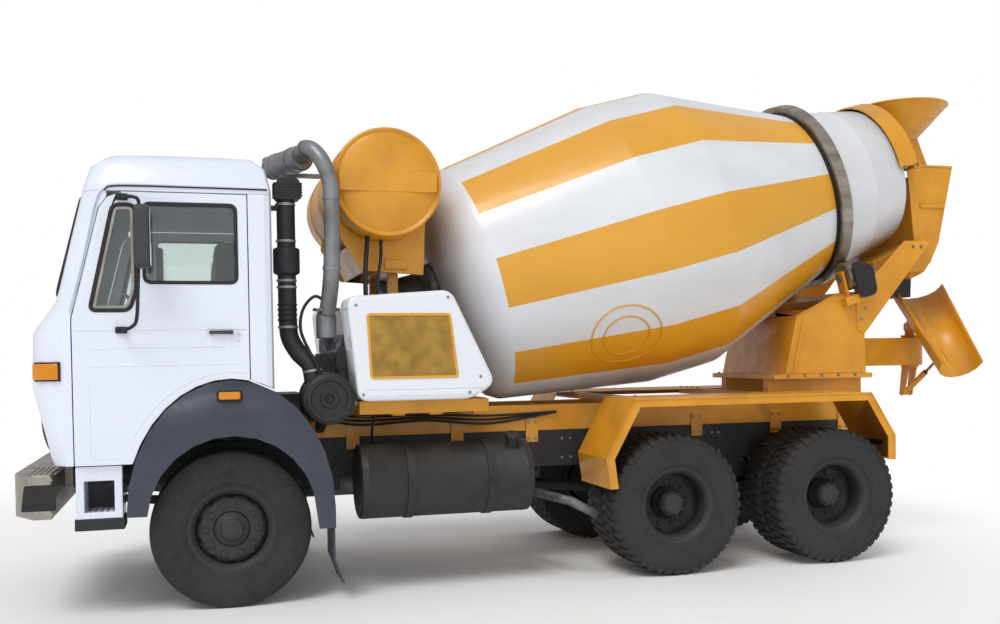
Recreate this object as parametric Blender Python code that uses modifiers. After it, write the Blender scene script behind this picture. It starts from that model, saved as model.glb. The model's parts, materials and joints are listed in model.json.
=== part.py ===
"""Concrete mixer truck: 6x4 chassis with a flat-front cab, a tilted mixing drum, its own drum engine,
a water tank, loading and discharge hoppers and a swinging chute.

Metres, +Z up. Inside this script x is measured back from the front axle, y = 0 is the centre plane and
the vehicle's left side is -y. One empty carries the whole truck and moves it so that the middle of its
length is at the world's origin, with the front towards -X.
"""
import math

import bmesh
import bpy
from mathutils import Matrix, Vector

# ---------------------------------------------------------------- driving dimensions
GAP = 0.0003                # between faces that touch

FRONT_OVERHANG = 1.34       # front axle to the bumper's face
WHEELBASE = 3.205           # front axle to the first drive axle
BOGIE_SPREAD = 1.35
REAR_END = 6.40             # front axle to the loading hopper's rim

TYRE_RADIUS = 0.525
TYRE_WIDTH = 0.278
BEAD_RADIUS = 0.256
FLANGE_RADIUS = 0.290
RIM_WIDTH = 0.220
RIM_BARREL = 0.238
SPINDLE_RADIUS = 0.050
FRONT_TRACK = 1.930
REAR_TRACK = 1.820
TWIN_SPACING = 0.310
KINGPIN_Y = 0.860

FRAME_WIDTH = 0.860
RAIL_HEIGHT = 0.285
RAIL_FLANGE = 0.065
RAIL_WEB = 0.010
FRAME_TOP = 1.070
FRAME_FRONT = -1.040
FRAME_REAR = 5.340

SUBFRAME_HEIGHT = 0.200
SUBFRAME_FRONT = 0.600
BEAM_WIDTH = 0.090
PLATFORM_HEIGHT = 0.090
PLATFORM_HALF_WIDTH = 1.030

CAB_HALF_WIDTH = 1.200
CAB_REAR = 0.290
CAB_WALL = 0.045
CAB_BOTTOM = 1.000
CAB_FLOOR_TOP = 1.585
CAB_FLOOR_THICKNESS = 0.040
WAIST_HEIGHT = 2.050
EAVES_HEIGHT = 2.780
ROOF_TOP = 3.025
DOOR_FRONT = -0.955
DOOR_REAR = 0.130
DOOR_TOP = 2.745
PANEL_GAP = 0.006
GLASS = 0.008
GLASS_INSET = 0.016

ARCH_X = 0.010
ARCH_Z = 0.660
ARCH_HALF_LENGTH = 0.665
ARCH_HEIGHT = 0.870
ARCH_OPENING_RADIUS = 0.540
ARCH_OPENING_Z = 0.620
MUDGUARD_SHEET = 0.012
MUDGUARD_INNER_Y = 0.780
MUDGUARD_FACE_Y = 1.205

DRUM_X = 1.930              # drum axis at the front end of the stripes
DRUM_Z = 2.234
DRUM_TILT = math.radians(15)
DRUM_SHEET = 0.008
HEAD_RADIUS = 0.300
HEAD_S = -0.300
STRIPE_RADIUS = 0.954
BELLY_RADIUS = 1.175
BELLY_START = 1.240
BELLY_END = 1.810
SEAT_START = 3.000          # short cylinder that carries the track ring
SEAT_END = 3.140
SEAT_RADIUS = 0.745
MOUTH_S = 3.810
MOUTH_RADIUS = 0.604
RING_RADIUS = 0.810
RING_WIDTH = 0.100
DRUM_SIDES = 36
WHEEL_SIDES = 20

ROLLER_RADIUS = 0.125
ROLLER_WIDTH = 0.110
ROLLER_SHAFT = 0.030
ROLLER_LUG = 0.025
ROLLER_ANGLE = math.radians(36)

TANK_X = 1.110
TANK_Z = 2.900
TANK_RADIUS = 0.385
TANK_HALF_LENGTH = 0.980

PEDESTAL_HALF_WIDTH = 0.570
PEDESTAL_FRONT = 4.470
PEDESTAL_REAR = 5.250
PEDESTAL_PLATE = 0.020
BASE_HEIGHT = 0.200
ARM_BOTTOM = 1.520
ARM_TOP = 1.770
SWIVEL_X = 6.100
SWIVEL_RADIUS = 0.045
BEARING_RADIUS = 0.080

CHUTE_HINGE_Y = -0.090
CHUTE_HINGE_Z = 1.900
CHUTE_SLOPE = math.radians(49)
CHUTE_TOP_WIDTH = 0.530
CHUTE_TIP_WIDTH = 0.400
CHUTE_DEPTH = 0.170
CHUTE_SHEET = 0.008
RAM_FOOT_Y = 0.060
RAM_FOOT_Z = 1.270
RAM_EYE_Y = -0.400
RAM_EYE_Z = 1.570

TRUCK_SHIFT = -(REAR_END - FRONT_OVERHANG) / 2
FRAME_BOTTOM = FRAME_TOP - RAIL_HEIGHT
SUBFRAME_TOP = FRAME_TOP + GAP + SUBFRAME_HEIGHT
PLATFORM_TOP = SUBFRAME_TOP + PLATFORM_HEIGHT
BASE_TOP = SUBFRAME_TOP + GAP + BASE_HEIGHT
DRIVE_AXLES = (WHEELBASE, WHEELBASE + BOGIE_SPREAD)

# name: (red, green, blue, roughness, metallic)
FINISHES = {
    "cab_white": (0.80, 0.83, 0.90, 0.30, 0.0),
    "drum_white": (0.78, 0.80, 0.82, 0.35, 0.0),
    "yellow_paint": (0.70, 0.38, 0.03, 0.40, 0.0),
    "chassis_black": (0.02, 0.02, 0.022, 0.60, 0.0),
    "mudguard_grey": (0.035, 0.04, 0.05, 0.55, 0.0),
    "tyre_rubber": (0.015, 0.015, 0.016, 0.85, 0.0),
    "steel": (0.45, 0.45, 0.45, 0.45, 1.0),
    "bright_steel": (0.60, 0.58, 0.52, 0.30, 1.0),
    "machinery_grey": (0.30, 0.31, 0.31, 0.50, 0.0),
    "glass": (0.55, 0.62, 0.62, 0.05, 0.0),
    "cover_white": (0.74, 0.76, 0.80, 0.35, 0.0),
    "seat_cloth": (0.08, 0.08, 0.09, 0.90, 0.0),
    "lamp_lens": (0.75, 0.75, 0.72, 0.10, 0.0),
}


# ---------------------------------------------------------------- scene and helpers
def clear_scene():
    for obj in list(bpy.data.objects):
        bpy.data.objects.remove(obj, do_unlink=True)


def new_collection(name):
    made = bpy.data.collections.new(name)
    bpy.context.scene.collection.children.link(made)
    return made


def new_empty(name, location, parent=None, rotation=(0, 0, 0)):
    empty = bpy.data.objects.new(name, None)
    parts.objects.link(empty)
    empty.parent = parent
    empty.location = location
    empty.rotation_euler = rotation
    return empty


def finish(name):
    if name not in bpy.data.materials:
        red, green, blue, roughness, metallic = FINISHES[name]
        material = bpy.data.materials.new(name)
        material.use_nodes = True
        shader = material.node_tree.nodes["Principled BSDF"]
        shader.inputs["Base Color"].default_value = (red, green, blue, 1)
        shader.inputs["Roughness"].default_value = roughness
        shader.inputs["Metallic"].default_value = metallic
    return bpy.data.materials[name]


def from_bmesh(bm, name, material, parent=None, smooth=False):
    """A mesh object in the truck's frame, or in its parent's, from a bmesh."""
    mesh = bpy.data.meshes.new(name)
    bm.to_mesh(mesh)
    bm.free()
    return place(mesh, name, material, parent, smooth)


def place(mesh, name, material, parent=None, smooth=False):
    obj = bpy.data.objects.new(name, mesh)
    parts.objects.link(obj)
    obj.parent = parent or truck
    mesh.materials.clear()
    mesh.materials.append(finish(material))
    if smooth:
        mesh.shade_smooth()
        mesh.set_sharp_from_angle(angle=math.radians(35))
    return obj


def box(bm, low, high):
    low, high = Vector(low), Vector(high)
    matrix = Matrix.Translation((low + high) / 2) @ Matrix.Diagonal((*(high - low), 1))
    bmesh.ops.create_cube(bm, size=1, matrix=matrix)


def rod(bm, start, end, radius, sides=16, end_radius=None):
    """A round bar, or a cone, from start to end."""
    start, end = Vector(start), Vector(end)
    along = end - start
    matrix = Matrix.Translation((start + end) / 2) @ along.to_track_quat("Z", "Y").to_matrix().to_4x4()
    bmesh.ops.create_cone(bm, cap_ends=True, segments=sides, radius1=radius,
                          radius2=radius if end_radius is None else end_radius,
                          depth=along.length, matrix=matrix)


def boxes_object(name, material, corners, parent=None):
    """Loose boxes, which don't touch each other, in one object."""
    bm = bmesh.new()
    for low, high in corners:
        box(bm, low, high)
    return from_bmesh(bm, name, material, parent)


def outline_mesh(name, outline, low, high, axis="Y"):
    """A flat outline of (x, z) points given a thickness from low to high along y, or of (y, z) along x,
    or of (x, y) along z. It is a filled 2D curve made into a mesh."""
    curve = bpy.data.curves.new(name, "CURVE")
    curve.dimensions = "2D"
    curve.fill_mode = "BOTH"
    curve.extrude = (high - low) / 2
    spline = curve.splines.new("POLY")
    spline.points.add(len(outline) - 1)
    for point, (across, up) in zip(spline.points, outline):
        point.co = (across, up, 0, 1)
    spline.use_cyclic_u = True
    helper = bpy.data.objects.new(name, curve)
    bpy.context.scene.collection.objects.link(helper)
    bpy.context.view_layer.update()
    graph = bpy.context.evaluated_depsgraph_get()
    mesh = bpy.data.meshes.new_from_object(helper.evaluated_get(graph))
    bpy.data.objects.remove(helper)
    bpy.data.curves.remove(curve)
    # the curve's local z becomes -y, +x or +z
    turn = {"Y": Matrix.Rotation(math.pi / 2, 4, "X"),
            "X": Matrix(((0, 0, 1, 0), (1, 0, 0, 0), (0, 1, 0, 0), (0, 0, 0, 1))),
            "Z": Matrix.Identity(4)}[axis]
    middle = (low + high) / 2
    offset = {"Y": (0, middle, 0), "X": (middle, 0, 0), "Z": (0, 0, middle)}[axis]
    mesh.transform(Matrix.Translation(offset) @ turn)
    bm = bmesh.new()
    bm.from_mesh(mesh)
    bmesh.ops.remove_doubles(bm, verts=bm.verts, dist=0.00005)
    bmesh.ops.recalc_face_normals(bm, faces=bm.faces)
    bm.to_mesh(mesh)
    bm.free()
    return mesh


def plate(name, material, outline, low, high, axis="Y", parent=None):
    return place(outline_mesh(name, outline, low, high, axis), name, material, parent)


def lathe(name, material, profile, sides, parent=None, closed=False):
    """A turned shape about its own Z. The profile's (radius, height) points run down the outer side."""
    mesh = bpy.data.meshes.new(name)
    edges = [(i, i + 1) for i in range(len(profile) - 1)]
    if closed:
        edges.append((len(profile) - 1, 0))
    mesh.from_pydata([(radius, 0, height) for radius, height in profile], edges, [])
    obj = place(mesh, name, material, parent)
    screw = obj.modifiers.new("turn", "SCREW")
    screw.axis = "Z"
    screw.steps = screw.render_steps = sides
    screw.use_merge_vertices = True
    screw.merge_threshold = 0.0001
    screw.use_smooth_shade = False
    return obj


def tube_mesh(name, points, radius, resolution=2):
    """A round tube along a line of points, as a closed mesh."""
    curve = bpy.data.curves.new(name, "CURVE")
    curve.dimensions = "3D"
    curve.bevel_depth = radius
    curve.bevel_resolution = resolution
    curve.use_fill_caps = True
    spline = curve.splines.new("POLY")
    spline.points.add(len(points) - 1)
    for point, co in zip(spline.points, points):
        point.co = (*co, 1)
    helper = bpy.data.objects.new(name, curve)
    bpy.context.scene.collection.objects.link(helper)
    bpy.context.view_layer.update()
    graph = bpy.context.evaluated_depsgraph_get()
    mesh = bpy.data.meshes.new_from_object(helper.evaluated_get(graph))
    bpy.data.objects.remove(helper)
    bpy.data.curves.remove(curve)
    bm = bmesh.new()
    bm.from_mesh(mesh)
    bmesh.ops.remove_doubles(bm, verts=bm.verts, dist=0.00005)
    bmesh.ops.recalc_face_normals(bm, faces=bm.faces)
    bm.to_mesh(mesh)
    bm.free()
    return mesh


def combine(target, others, operation="UNION"):
    """Joins the other objects to the target, or cuts them from it, and puts them with the cutters."""
    for other in others:
        if cutters not in other.users_collection:
            parts.objects.unlink(other)
            cutters.objects.link(other)
        other.hide_render = True
        other.display_type = "WIRE"
        modifier = target.modifiers.new(other.name, "BOOLEAN")
        modifier.operation = operation
        modifier.object = other
    return target


def mirror(obj):
    """Adds the same shape on the other side of the centre plane."""
    modifier = obj.modifiers.new("other side", "MIRROR")
    modifier.use_axis = (False, True, False)
    modifier.use_mirror_merge = False
    return obj


def thicken(obj, thickness, inwards=True):
    modifier = obj.modifiers.new("sheet", "SOLIDIFY")
    modifier.thickness = thickness
    modifier.offset = -1 if inwards else 1
    modifier.use_even_offset = True
    return obj


def arc(centre_x, centre_z, radius_x, radius_z, start, end, steps):
    """Points along an ellipse, angles in degrees from +x towards +z."""
    return [(centre_x + radius_x * math.cos(math.radians(start + (end - start) * i / steps)),
             centre_z + radius_z * math.sin(math.radians(start + (end - start) * i / steps)))
            for i in range(steps + 1)]


def rounded(corners, radius, steps=3):
    """An outline whose corners are replaced by arcs of the given radius."""
    points = []
    count = len(corners)
    for i, corner in enumerate(corners):
        here = Vector(corner)
        before = (Vector(corners[i - 1]) - here).normalized()
        after = (Vector(corners[(i + 1) % count]) - here).normalized()
        half = before.angle(after) / 2
        centre = here + (before + after).normalized() * (radius / math.sin(half))
        first = here + before * (radius / math.tan(half)) - centre
        last = here + after * (radius / math.tan(half)) - centre
        turn = first.angle_signed(last)
        for step in range(steps + 1):
            spot = Matrix.Rotation(-turn * step / steps, 2) @ first + centre
            points.append((spot.x, spot.y))
    return points


def bore_radius(shaft, sides):
    """Radius of a faceted bore that a shaft of that radius turns in."""
    return (shaft + GAP) / math.cos(math.pi / sides)


def drum_point(s, down=0.0, y=0.0):
    """A point given along the drum's axis, and down square to it."""
    return Vector((DRUM_X + s * math.cos(DRUM_TILT) + down * math.sin(DRUM_TILT), y,
                   DRUM_Z + s * math.sin(DRUM_TILT) - down * math.cos(DRUM_TILT)))


# ---------------------------------------------------------------- chassis
def chassis_frame():
    outer = FRAME_WIDTH / 2
    inner = outer - RAIL_FLANGE
    web = outer - RAIL_WEB
    channel = [(outer, FRAME_BOTTOM), (outer, FRAME_TOP), (inner, FRAME_TOP),
               (inner, FRAME_TOP - RAIL_WEB),
               (web, FRAME_TOP - RAIL_WEB), (web, FRAME_BOTTOM + RAIL_WEB),
               (inner, FRAME_BOTTOM + RAIL_WEB), (inner, FRAME_BOTTOM)]
    left = plate("left_rail", "chassis_black", [(-y, z) for y, z in channel], FRAME_FRONT, FRAME_REAR,
                 "X")
    frame = plate("chassis_frame", "chassis_black", channel, FRAME_FRONT, FRAME_REAR, "X")
    member_depth = 0.16
    low = FRAME_BOTTOM + (RAIL_HEIGHT - member_depth) / 2
    members = []
    for number, (x, length) in enumerate([(-0.99, 0.08), (0.78, 0.08), (2.05, 0.08), (2.62, 0.08),
                                          (WHEELBASE + BOGIE_SPREAD / 2, 0.30), (5.28, 0.08)]):
        members.append(boxes_object(f"crossmember_{number}", "chassis_black",
                                    [((x - length / 2, -web - RAIL_WEB / 2, low),
                                      (x + length / 2, web + RAIL_WEB / 2, low + member_depth))]))
    return combine(frame, [left] + members)


def mixer_subframe():
    """Box beams on the rails, and the platform that carries the drum's engine."""
    outer = FRAME_WIDTH / 2
    low, high = FRAME_TOP + GAP, SUBFRAME_TOP
    subframe = boxes_object("mixer_subframe", "yellow_paint",
                            [((SUBFRAME_FRONT, -outer, low), (FRAME_REAR, -outer + BEAM_WIDTH, high)),
                             ((SUBFRAME_FRONT, outer - BEAM_WIDTH, low), (FRAME_REAR, outer, high))])
    pieces = []
    for number, x in enumerate((0.66, 2.10, 3.20, 4.20, 5.28)):
        pieces.append(boxes_object(f"subframe_tie_{number}", "yellow_paint",
                                   [((x - 0.04, -outer + BEAM_WIDTH / 2, low + 0.03),
                                     (x + 0.04, outer - BEAM_WIDTH / 2, high - 0.03))]))
    for number, x in enumerate((0.91, 1.15, 1.42, 1.74)):
        pieces.append(boxes_object(f"outrigger_{number}", "yellow_paint",
                                   [((x - 0.045, -PLATFORM_HALF_WIDTH + 0.03, high - 0.02),
                                     (x + 0.045, PLATFORM_HALF_WIDTH - 0.03, PLATFORM_TOP))]))
    for side in (-1, 1):
        inner, edge = sorted((side * PLATFORM_HALF_WIDTH, side * (PLATFORM_HALF_WIDTH - 0.07)))
        pieces.append(boxes_object(f"platform_edge_{side}", "yellow_paint",
                                   [((0.87, inner, high - 0.005), (1.80, edge, PLATFORM_TOP - 0.002))]))
    return combine(subframe, pieces)


def bumper():
    """A pressed steel bumper with slanted ends, on two brackets from the rails."""
    half, end = 1.17, 0.24
    front, back = -FRONT_OVERHANG, -FRONT_OVERHANG + 0.24
    outline = [(front, -half + end), (front, half - end), (front + 0.13, half), (back, half),
               (back, -half), (front + 0.13, -half)]
    face = plate("front_bumper", "bright_steel", outline, 0.67, 0.95, "Z")
    brackets = []
    for side in (-1, 1):
        y = side * 0.40
        brackets.append(boxes_object(f"bumper_bracket_{side}", "chassis_black",
                                     [((back - 0.02, y - 0.035, 0.80),
                                       (FRAME_FRONT - GAP, y + 0.035, 0.93))]))
    return combine(face, brackets)


def springs(name, outline):
    """The same flat outline as a leaf spring under each rail."""
    rail = FRAME_WIDTH / 2
    made = []
    for side in (-1, 1):
        near, far = sorted((side * (rail - 0.085), side * (rail - 0.010)))
        made.append(plate(f"{name}_{side}", "chassis_black", outline, near, far))
    return made


def front_axle():
    """A dropped beam with a kingpin boss at each end, and the springs that carry the frame."""
    beam = plate("front_axle", "chassis_black",
                 [(-0.72, 0.475), (-0.60, 0.50), (0.60, 0.50), (0.72, 0.475), (KINGPIN_Y, 0.475),
                  (KINGPIN_Y, 0.575), (0.72, 0.575), (0.60, 0.60), (-0.60, 0.60), (-0.72, 0.575),
                  (-KINGPIN_Y, 0.575), (-KINGPIN_Y, 0.475)], -0.045, 0.045, "X")
    bosses = []
    for side in (-1, 1):
        bm = bmesh.new()
        rod(bm, (0, side * KINGPIN_Y, 0.470), (0, side * KINGPIN_Y, 0.580), 0.055)
        bosses.append(from_bmesh(bm, f"kingpin_boss_{side}", "chassis_black"))
    under = FRAME_BOTTOM - GAP
    leaves = springs("front_spring", [(-0.80, under), (-0.72, under), (-0.70, 0.715), (0.0, 0.655),
                                      (0.70, 0.715),
                                      (0.72, under), (0.80, under), (0.80, 0.68), (0.05, 0.580), (-0.05,
                                                                                                  0.580),
                                      (-0.80, 0.68)])
    combine(beam, bosses + leaves)
    bores = []
    for side in (-1, 1):
        bm = bmesh.new()
        rod(bm, (0, side * KINGPIN_Y, 0.40), (0, side * KINGPIN_Y, 0.70), bore_radius(0.025, 16))
        bores.append(from_bmesh(bm, f"kingpin_bore_{side}", "chassis_black"))
    return combine(beam, bores, "DIFFERENCE")


def steering_knuckle(name, side):
    """Yoke, kingpin and wheel spindle. Its own origin is on the kingpin's axis."""
    pivot = new_empty(f"{name}_pivot", (0, side * KINGPIN_Y, TYRE_RADIUS), truck)
    spindle_end = side * (FRONT_TRACK / 2 - KINGPIN_Y + 0.04 - GAP)
    bm = bmesh.new()
    rod(bm, (0, 0, -0.09), (0, 0, 0.09), 0.025)
    pin = from_bmesh(bm, name, "steel", pivot)
    shapes = []
    back = side * 0.058
    for label, z in (("lower", -0.0865), ("upper", 0.0565)):
        bm = bmesh.new()
        near, far = sorted((-side * 0.045, side * 0.088))
        box(bm, (-0.045, near, z), (0.045, far, z + 0.030))
        shapes.append(from_bmesh(bm, f"{name}_{label}_ear", "steel", pivot))
    bm = bmesh.new()
    near, far = sorted((back + side * 0.004, side * 0.092))
    box(bm, (-0.047, near, -0.088), (0.047, far, 0.088))
    shapes.append(from_bmesh(bm, f"{name}_plate", "steel", pivot))
    bm = bmesh.new()
    rod(bm, (0, side * 0.085, 0), (0, spindle_end, 0), SPINDLE_RADIUS, WHEEL_SIDES)
    shapes.append(from_bmesh(bm, f"{name}_spindle", "steel", pivot))
    return combine(pin, shapes)


def drive_axles():
    """Two axle housings with their differentials, spindles at the ends and the shafts that drive them."""
    housing = None
    reach = REAR_TRACK / 2 + 0.10 - GAP
    for number, x in enumerate(DRIVE_AXLES):
        bm = bmesh.new()
        rod(bm, (x, -reach, TYRE_RADIUS), (x, reach, TYRE_RADIUS), SPINDLE_RADIUS, WHEEL_SIDES)
        axle = from_bmesh(bm, "drive_axles" if housing is None else f"axle_tube_{number}",
                          "chassis_black")
        bm = bmesh.new()
        rod(bm, (x, -0.66, TYRE_RADIUS), (x, 0.66, TYRE_RADIUS), 0.075)
        sleeve = from_bmesh(bm, f"axle_sleeve_{number}", "chassis_black")
        bm = bmesh.new()
        rod(bm, (x - 0.20, 0, TYRE_RADIUS), (x + 0.16, 0, TYRE_RADIUS), 0.19, 16, 0.13)
        casing = from_bmesh(bm, f"differential_{number}", "chassis_black")
        if housing is None:
            housing = axle
            combine(housing, [sleeve, casing])
        else:
            combine(housing, [axle, sleeve, casing])
    bm = bmesh.new()
    rod(bm, (0.570, 0, 0.80), (DRIVE_AXLES[0], 0, TYRE_RADIUS), 0.045, 12)
    first = from_bmesh(bm, "front_prop_shaft", "chassis_black")
    bm = bmesh.new()
    rod(bm, (DRIVE_AXLES[0], 0, TYRE_RADIUS), (DRIVE_AXLES[1], 0, TYRE_RADIUS), 0.045, 12)
    shafts = [first, from_bmesh(bm, "rear_prop_shaft", "chassis_black")]
    middle, under = WHEELBASE + BOGIE_SPREAD / 2, FRAME_BOTTOM - GAP
    half = BOGIE_SPREAD / 2
    leaves = springs("bogie_spring", [(middle - half - 0.06, 0.575), (middle - half + 0.06, 0.575),
                                      (middle - 0.08, 0.650), (middle + 0.08, 0.650),
                                      (middle + half - 0.06, 0.575), (middle + half + 0.06, 0.575),
                                      (middle + half + 0.06, 0.640), (middle + 0.14,
                                                                      under), (middle - 0.14, under),
                                      (middle - half - 0.06, 0.640)])
    return combine(housing, shafts + leaves)


# ---------------------------------------------------------------- wheels
def tyre_profile():
    """Closed section of a tyre about the middle of its width."""
    half, tread = TYRE_WIDTH / 2, TYRE_WIDTH / 2 - 0.026
    seat = RIM_WIDTH / 2 - 0.016
    return [(BEAD_RADIUS + GAP, seat), (TYRE_RADIUS - 0.100, half), (TYRE_RADIUS, tread),
            (TYRE_RADIUS, -tread),
            (TYRE_RADIUS - 0.100, -half), (BEAD_RADIUS + GAP, -seat)]


def rim_side(offset):
    """Flange, seat and flange of one rim, outer side first."""
    half = RIM_WIDTH / 2
    seat = half - 0.014
    return [(FLANGE_RADIUS, offset + half), (BEAD_RADIUS, offset + seat),
            (BEAD_RADIUS, offset - seat), (FLANGE_RADIUS, offset - half)]


def wheel_turn(side):
    """Turns a lathe's +z to point out of that side of the truck."""
    return (-side * math.pi / 2, 0, 0)


def front_wheel(side_name, side):
    centre = (0, side * FRONT_TRACK / 2, TYRE_RADIUS)
    half = RIM_WIDTH / 2
    hub_bore = bore_radius(SPINDLE_RADIUS, WHEEL_SIDES)
    tyre = lathe(f"front_tyre_{side_name}", "tyre_rubber", tyre_profile(), WHEEL_SIDES, closed=True)
    rim = lathe(f"front_rim_{side_name}", "chassis_black",
                [(0, 0.115), (0.085, 0.115), (0.095, 0.055), (RIM_BARREL, 0.060),
                 (RIM_BARREL, half)] + rim_side(0)
                + [(RIM_BARREL, -half), (RIM_BARREL, 0.030), (hub_bore, -0.010), (hub_bore, 0.040),
                   (0, 0.040)],
                WHEEL_SIDES)
    for obj in (tyre, rim):
        obj.location = centre
        obj.rotation_euler = wheel_turn(side)


def twin_wheels(axle_name, side_name, side, x):
    """Two rims on one hub, an outer tyre and an inner tyre."""
    centre = (x, side * REAR_TRACK / 2, TYRE_RADIUS)
    half, edge = TWIN_SPACING / 2, TWIN_SPACING / 2 + RIM_WIDTH / 2
    hub_bore = bore_radius(SPINDLE_RADIUS, WHEEL_SIDES)
    rims = lathe(f"{axle_name}_rims_{side_name}", "chassis_black",
                 [(0, 0.200), (0.110, 0.200), (0.110, 0.030), (RIM_BARREL, 0.030), (RIM_BARREL, edge)]
                 + rim_side(half) + rim_side(-half)
                 + [(RIM_BARREL, -edge), (RIM_BARREL, -0.030), (hub_bore, -0.030), (hub_bore, 0.100),
                    (0, 0.100)],
                 WHEEL_SIDES)
    rims.location = centre
    rims.rotation_euler = wheel_turn(side)
    for place_name, offset in (("outer", half), ("inner", -half)):
        tyre = lathe(f"{axle_name}_{place_name}_tyre_{side_name}", "tyre_rubber", tyre_profile(),
                     WHEEL_SIDES,
                     closed=True)
        tyre.location = (x, side * (REAR_TRACK / 2 + offset), TYRE_RADIUS)
        tyre.rotation_euler = wheel_turn(side)


# ---------------------------------------------------------------- cab
# height, front face x, half width, corner radius
CAB_SECTIONS = [
    (CAB_BOTTOM, -1.100, CAB_HALF_WIDTH, 0.20),
    (1.500, -1.215, CAB_HALF_WIDTH, 0.22),
    (1.850, -1.205, CAB_HALF_WIDTH, 0.22),
    (WAIST_HEIGHT, -1.060, CAB_HALF_WIDTH, 0.17),
    (EAVES_HEIGHT, -0.880, CAB_HALF_WIDTH, 0.15),
    (2.925, -0.835, CAB_HALF_WIDTH - 0.030, 0.16),
    (2.995, -0.740, CAB_HALF_WIDTH - 0.110, 0.16),
    (ROOF_TOP, -0.560, CAB_HALF_WIDTH - 0.260, 0.16),
]
ROOF_REAR_INSET = {2.925: 0.035, 2.995: 0.11, ROOF_TOP: 0.24}
REAR_CORNER = 0.05


def cab_ring(section, inset):
    """One level of the cab: a rectangle with round corners, drawn in by inset."""
    height, front, half, radius = section
    front, half = front + inset, half - inset
    rear = CAB_REAR - inset - ROOF_REAR_INSET.get(height, 0)
    round_front, round_rear = radius - inset * 0.7, max(REAR_CORNER - inset * 0.7, 0.008)
    points = []
    for corner_x, corner_y, radius_here, start in (
            (front + round_front, -half + round_front, round_front, 180),
            (rear - round_rear, -half + round_rear, round_rear, 270),
            (rear - round_rear, half - round_rear, round_rear, 0),
            (front + round_front, half - round_front, round_front, 90)):
        steps = 3 if radius_here == round_front else 2
        points += arc(corner_x, corner_y, radius_here, radius_here, start, start + 90, steps)
    return points


def cab_solid(name, inset, bottom_drop=0.0):
    """The cab's closed form, drawn in by inset on every side but the bottom."""
    bm = bmesh.new()
    rings = []
    for section in CAB_SECTIONS:
        height = section[0]
        if height == CAB_BOTTOM:
            height -= bottom_drop
        if height > EAVES_HEIGHT:
            height -= inset
        rings.append([bm.verts.new((x, y, height)) for x, y in cab_ring(section, inset)])
    for lower, upper in zip(rings, rings[1:]):
        for i in range(len(lower)):
            j = (i + 1) % len(lower)
            bm.faces.new((lower[i], lower[j], upper[j], upper[i]))
    bm.faces.new(rings[0][::-1])
    bm.faces.new(rings[-1])
    return from_bmesh(bm, name, "cab_white")


def cab_shell(name, region, outer_inset=0.0, wall=CAB_WALL, material="cab_white"):
    """The part of the cab's wall that lies in a region."""
    shell = cab_solid(name, outer_inset)
    shell.data.materials[0] = finish(material)
    inner = cab_solid(f"{name}_inside", outer_inset + wall, 0.1)
    combine(shell, [inner], "DIFFERENCE")
    return combine(shell, [region], "INTERSECT")


def door_outline(gap=0.0):
    """Door edge as (x, z): the lower rear is cut by the wheel arch. Gap draws it outwards."""
    arch_x, arch_z = ARCH_HALF_LENGTH + 0.008 - gap, ARCH_HEIGHT + 0.008 - gap
    low = CAB_BOTTOM + 0.001 - gap * 2
    start = 180 - math.degrees(math.asin((low - ARCH_Z) / arch_z))
    end = math.degrees(math.acos((DOOR_REAR + gap - ARCH_X) / arch_x))
    wheel = arc(ARCH_X, ARCH_Z, arch_x, arch_z, start, end, 8)
    return ([(DOOR_FRONT - gap, low)] + wheel
            + [(DOOR_REAR + gap, DOOR_TOP + gap), (-0.640 - gap, DOOR_TOP + gap),
               (-0.725 - gap, DOOR_TOP - 0.035 + gap),
               (-0.778 - gap, 2.640), (DOOR_FRONT - gap, 1.940)])


QUARTER_WINDOW = [(-0.850, 1.985), (-0.605, 1.985), (-0.560, 2.120), (-0.560, 2.665), (-0.700, 2.665)]
DOOR_WINDOW = [(-0.515, 2.165), (0.060, 2.165), (0.060, 2.675), (-0.515, 2.675)]


def inset_outline(outline, distance):
    """A convex outline, listed anticlockwise or clockwise, drawn in by a distance."""
    centre = sum((Vector(p) for p in outline), Vector((0, 0))) / len(outline)
    lines = []
    for i, point in enumerate(outline):
        here, there = Vector(point), Vector(outline[(i + 1) % len(outline)])
        along = (there - here).normalized()
        normal = Vector((-along.y, along.x))
        if normal.dot(centre - here) < 0:
            normal = -normal
        lines.append((here + normal * distance, along))
    moved = []
    for i in range(len(outline)):
        (a, da), (b, db) = lines[i - 1], lines[i]
        t = (b - a).cross(db) / da.cross(db)
        moved.append(tuple(a + da * t))
    return moved


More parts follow.
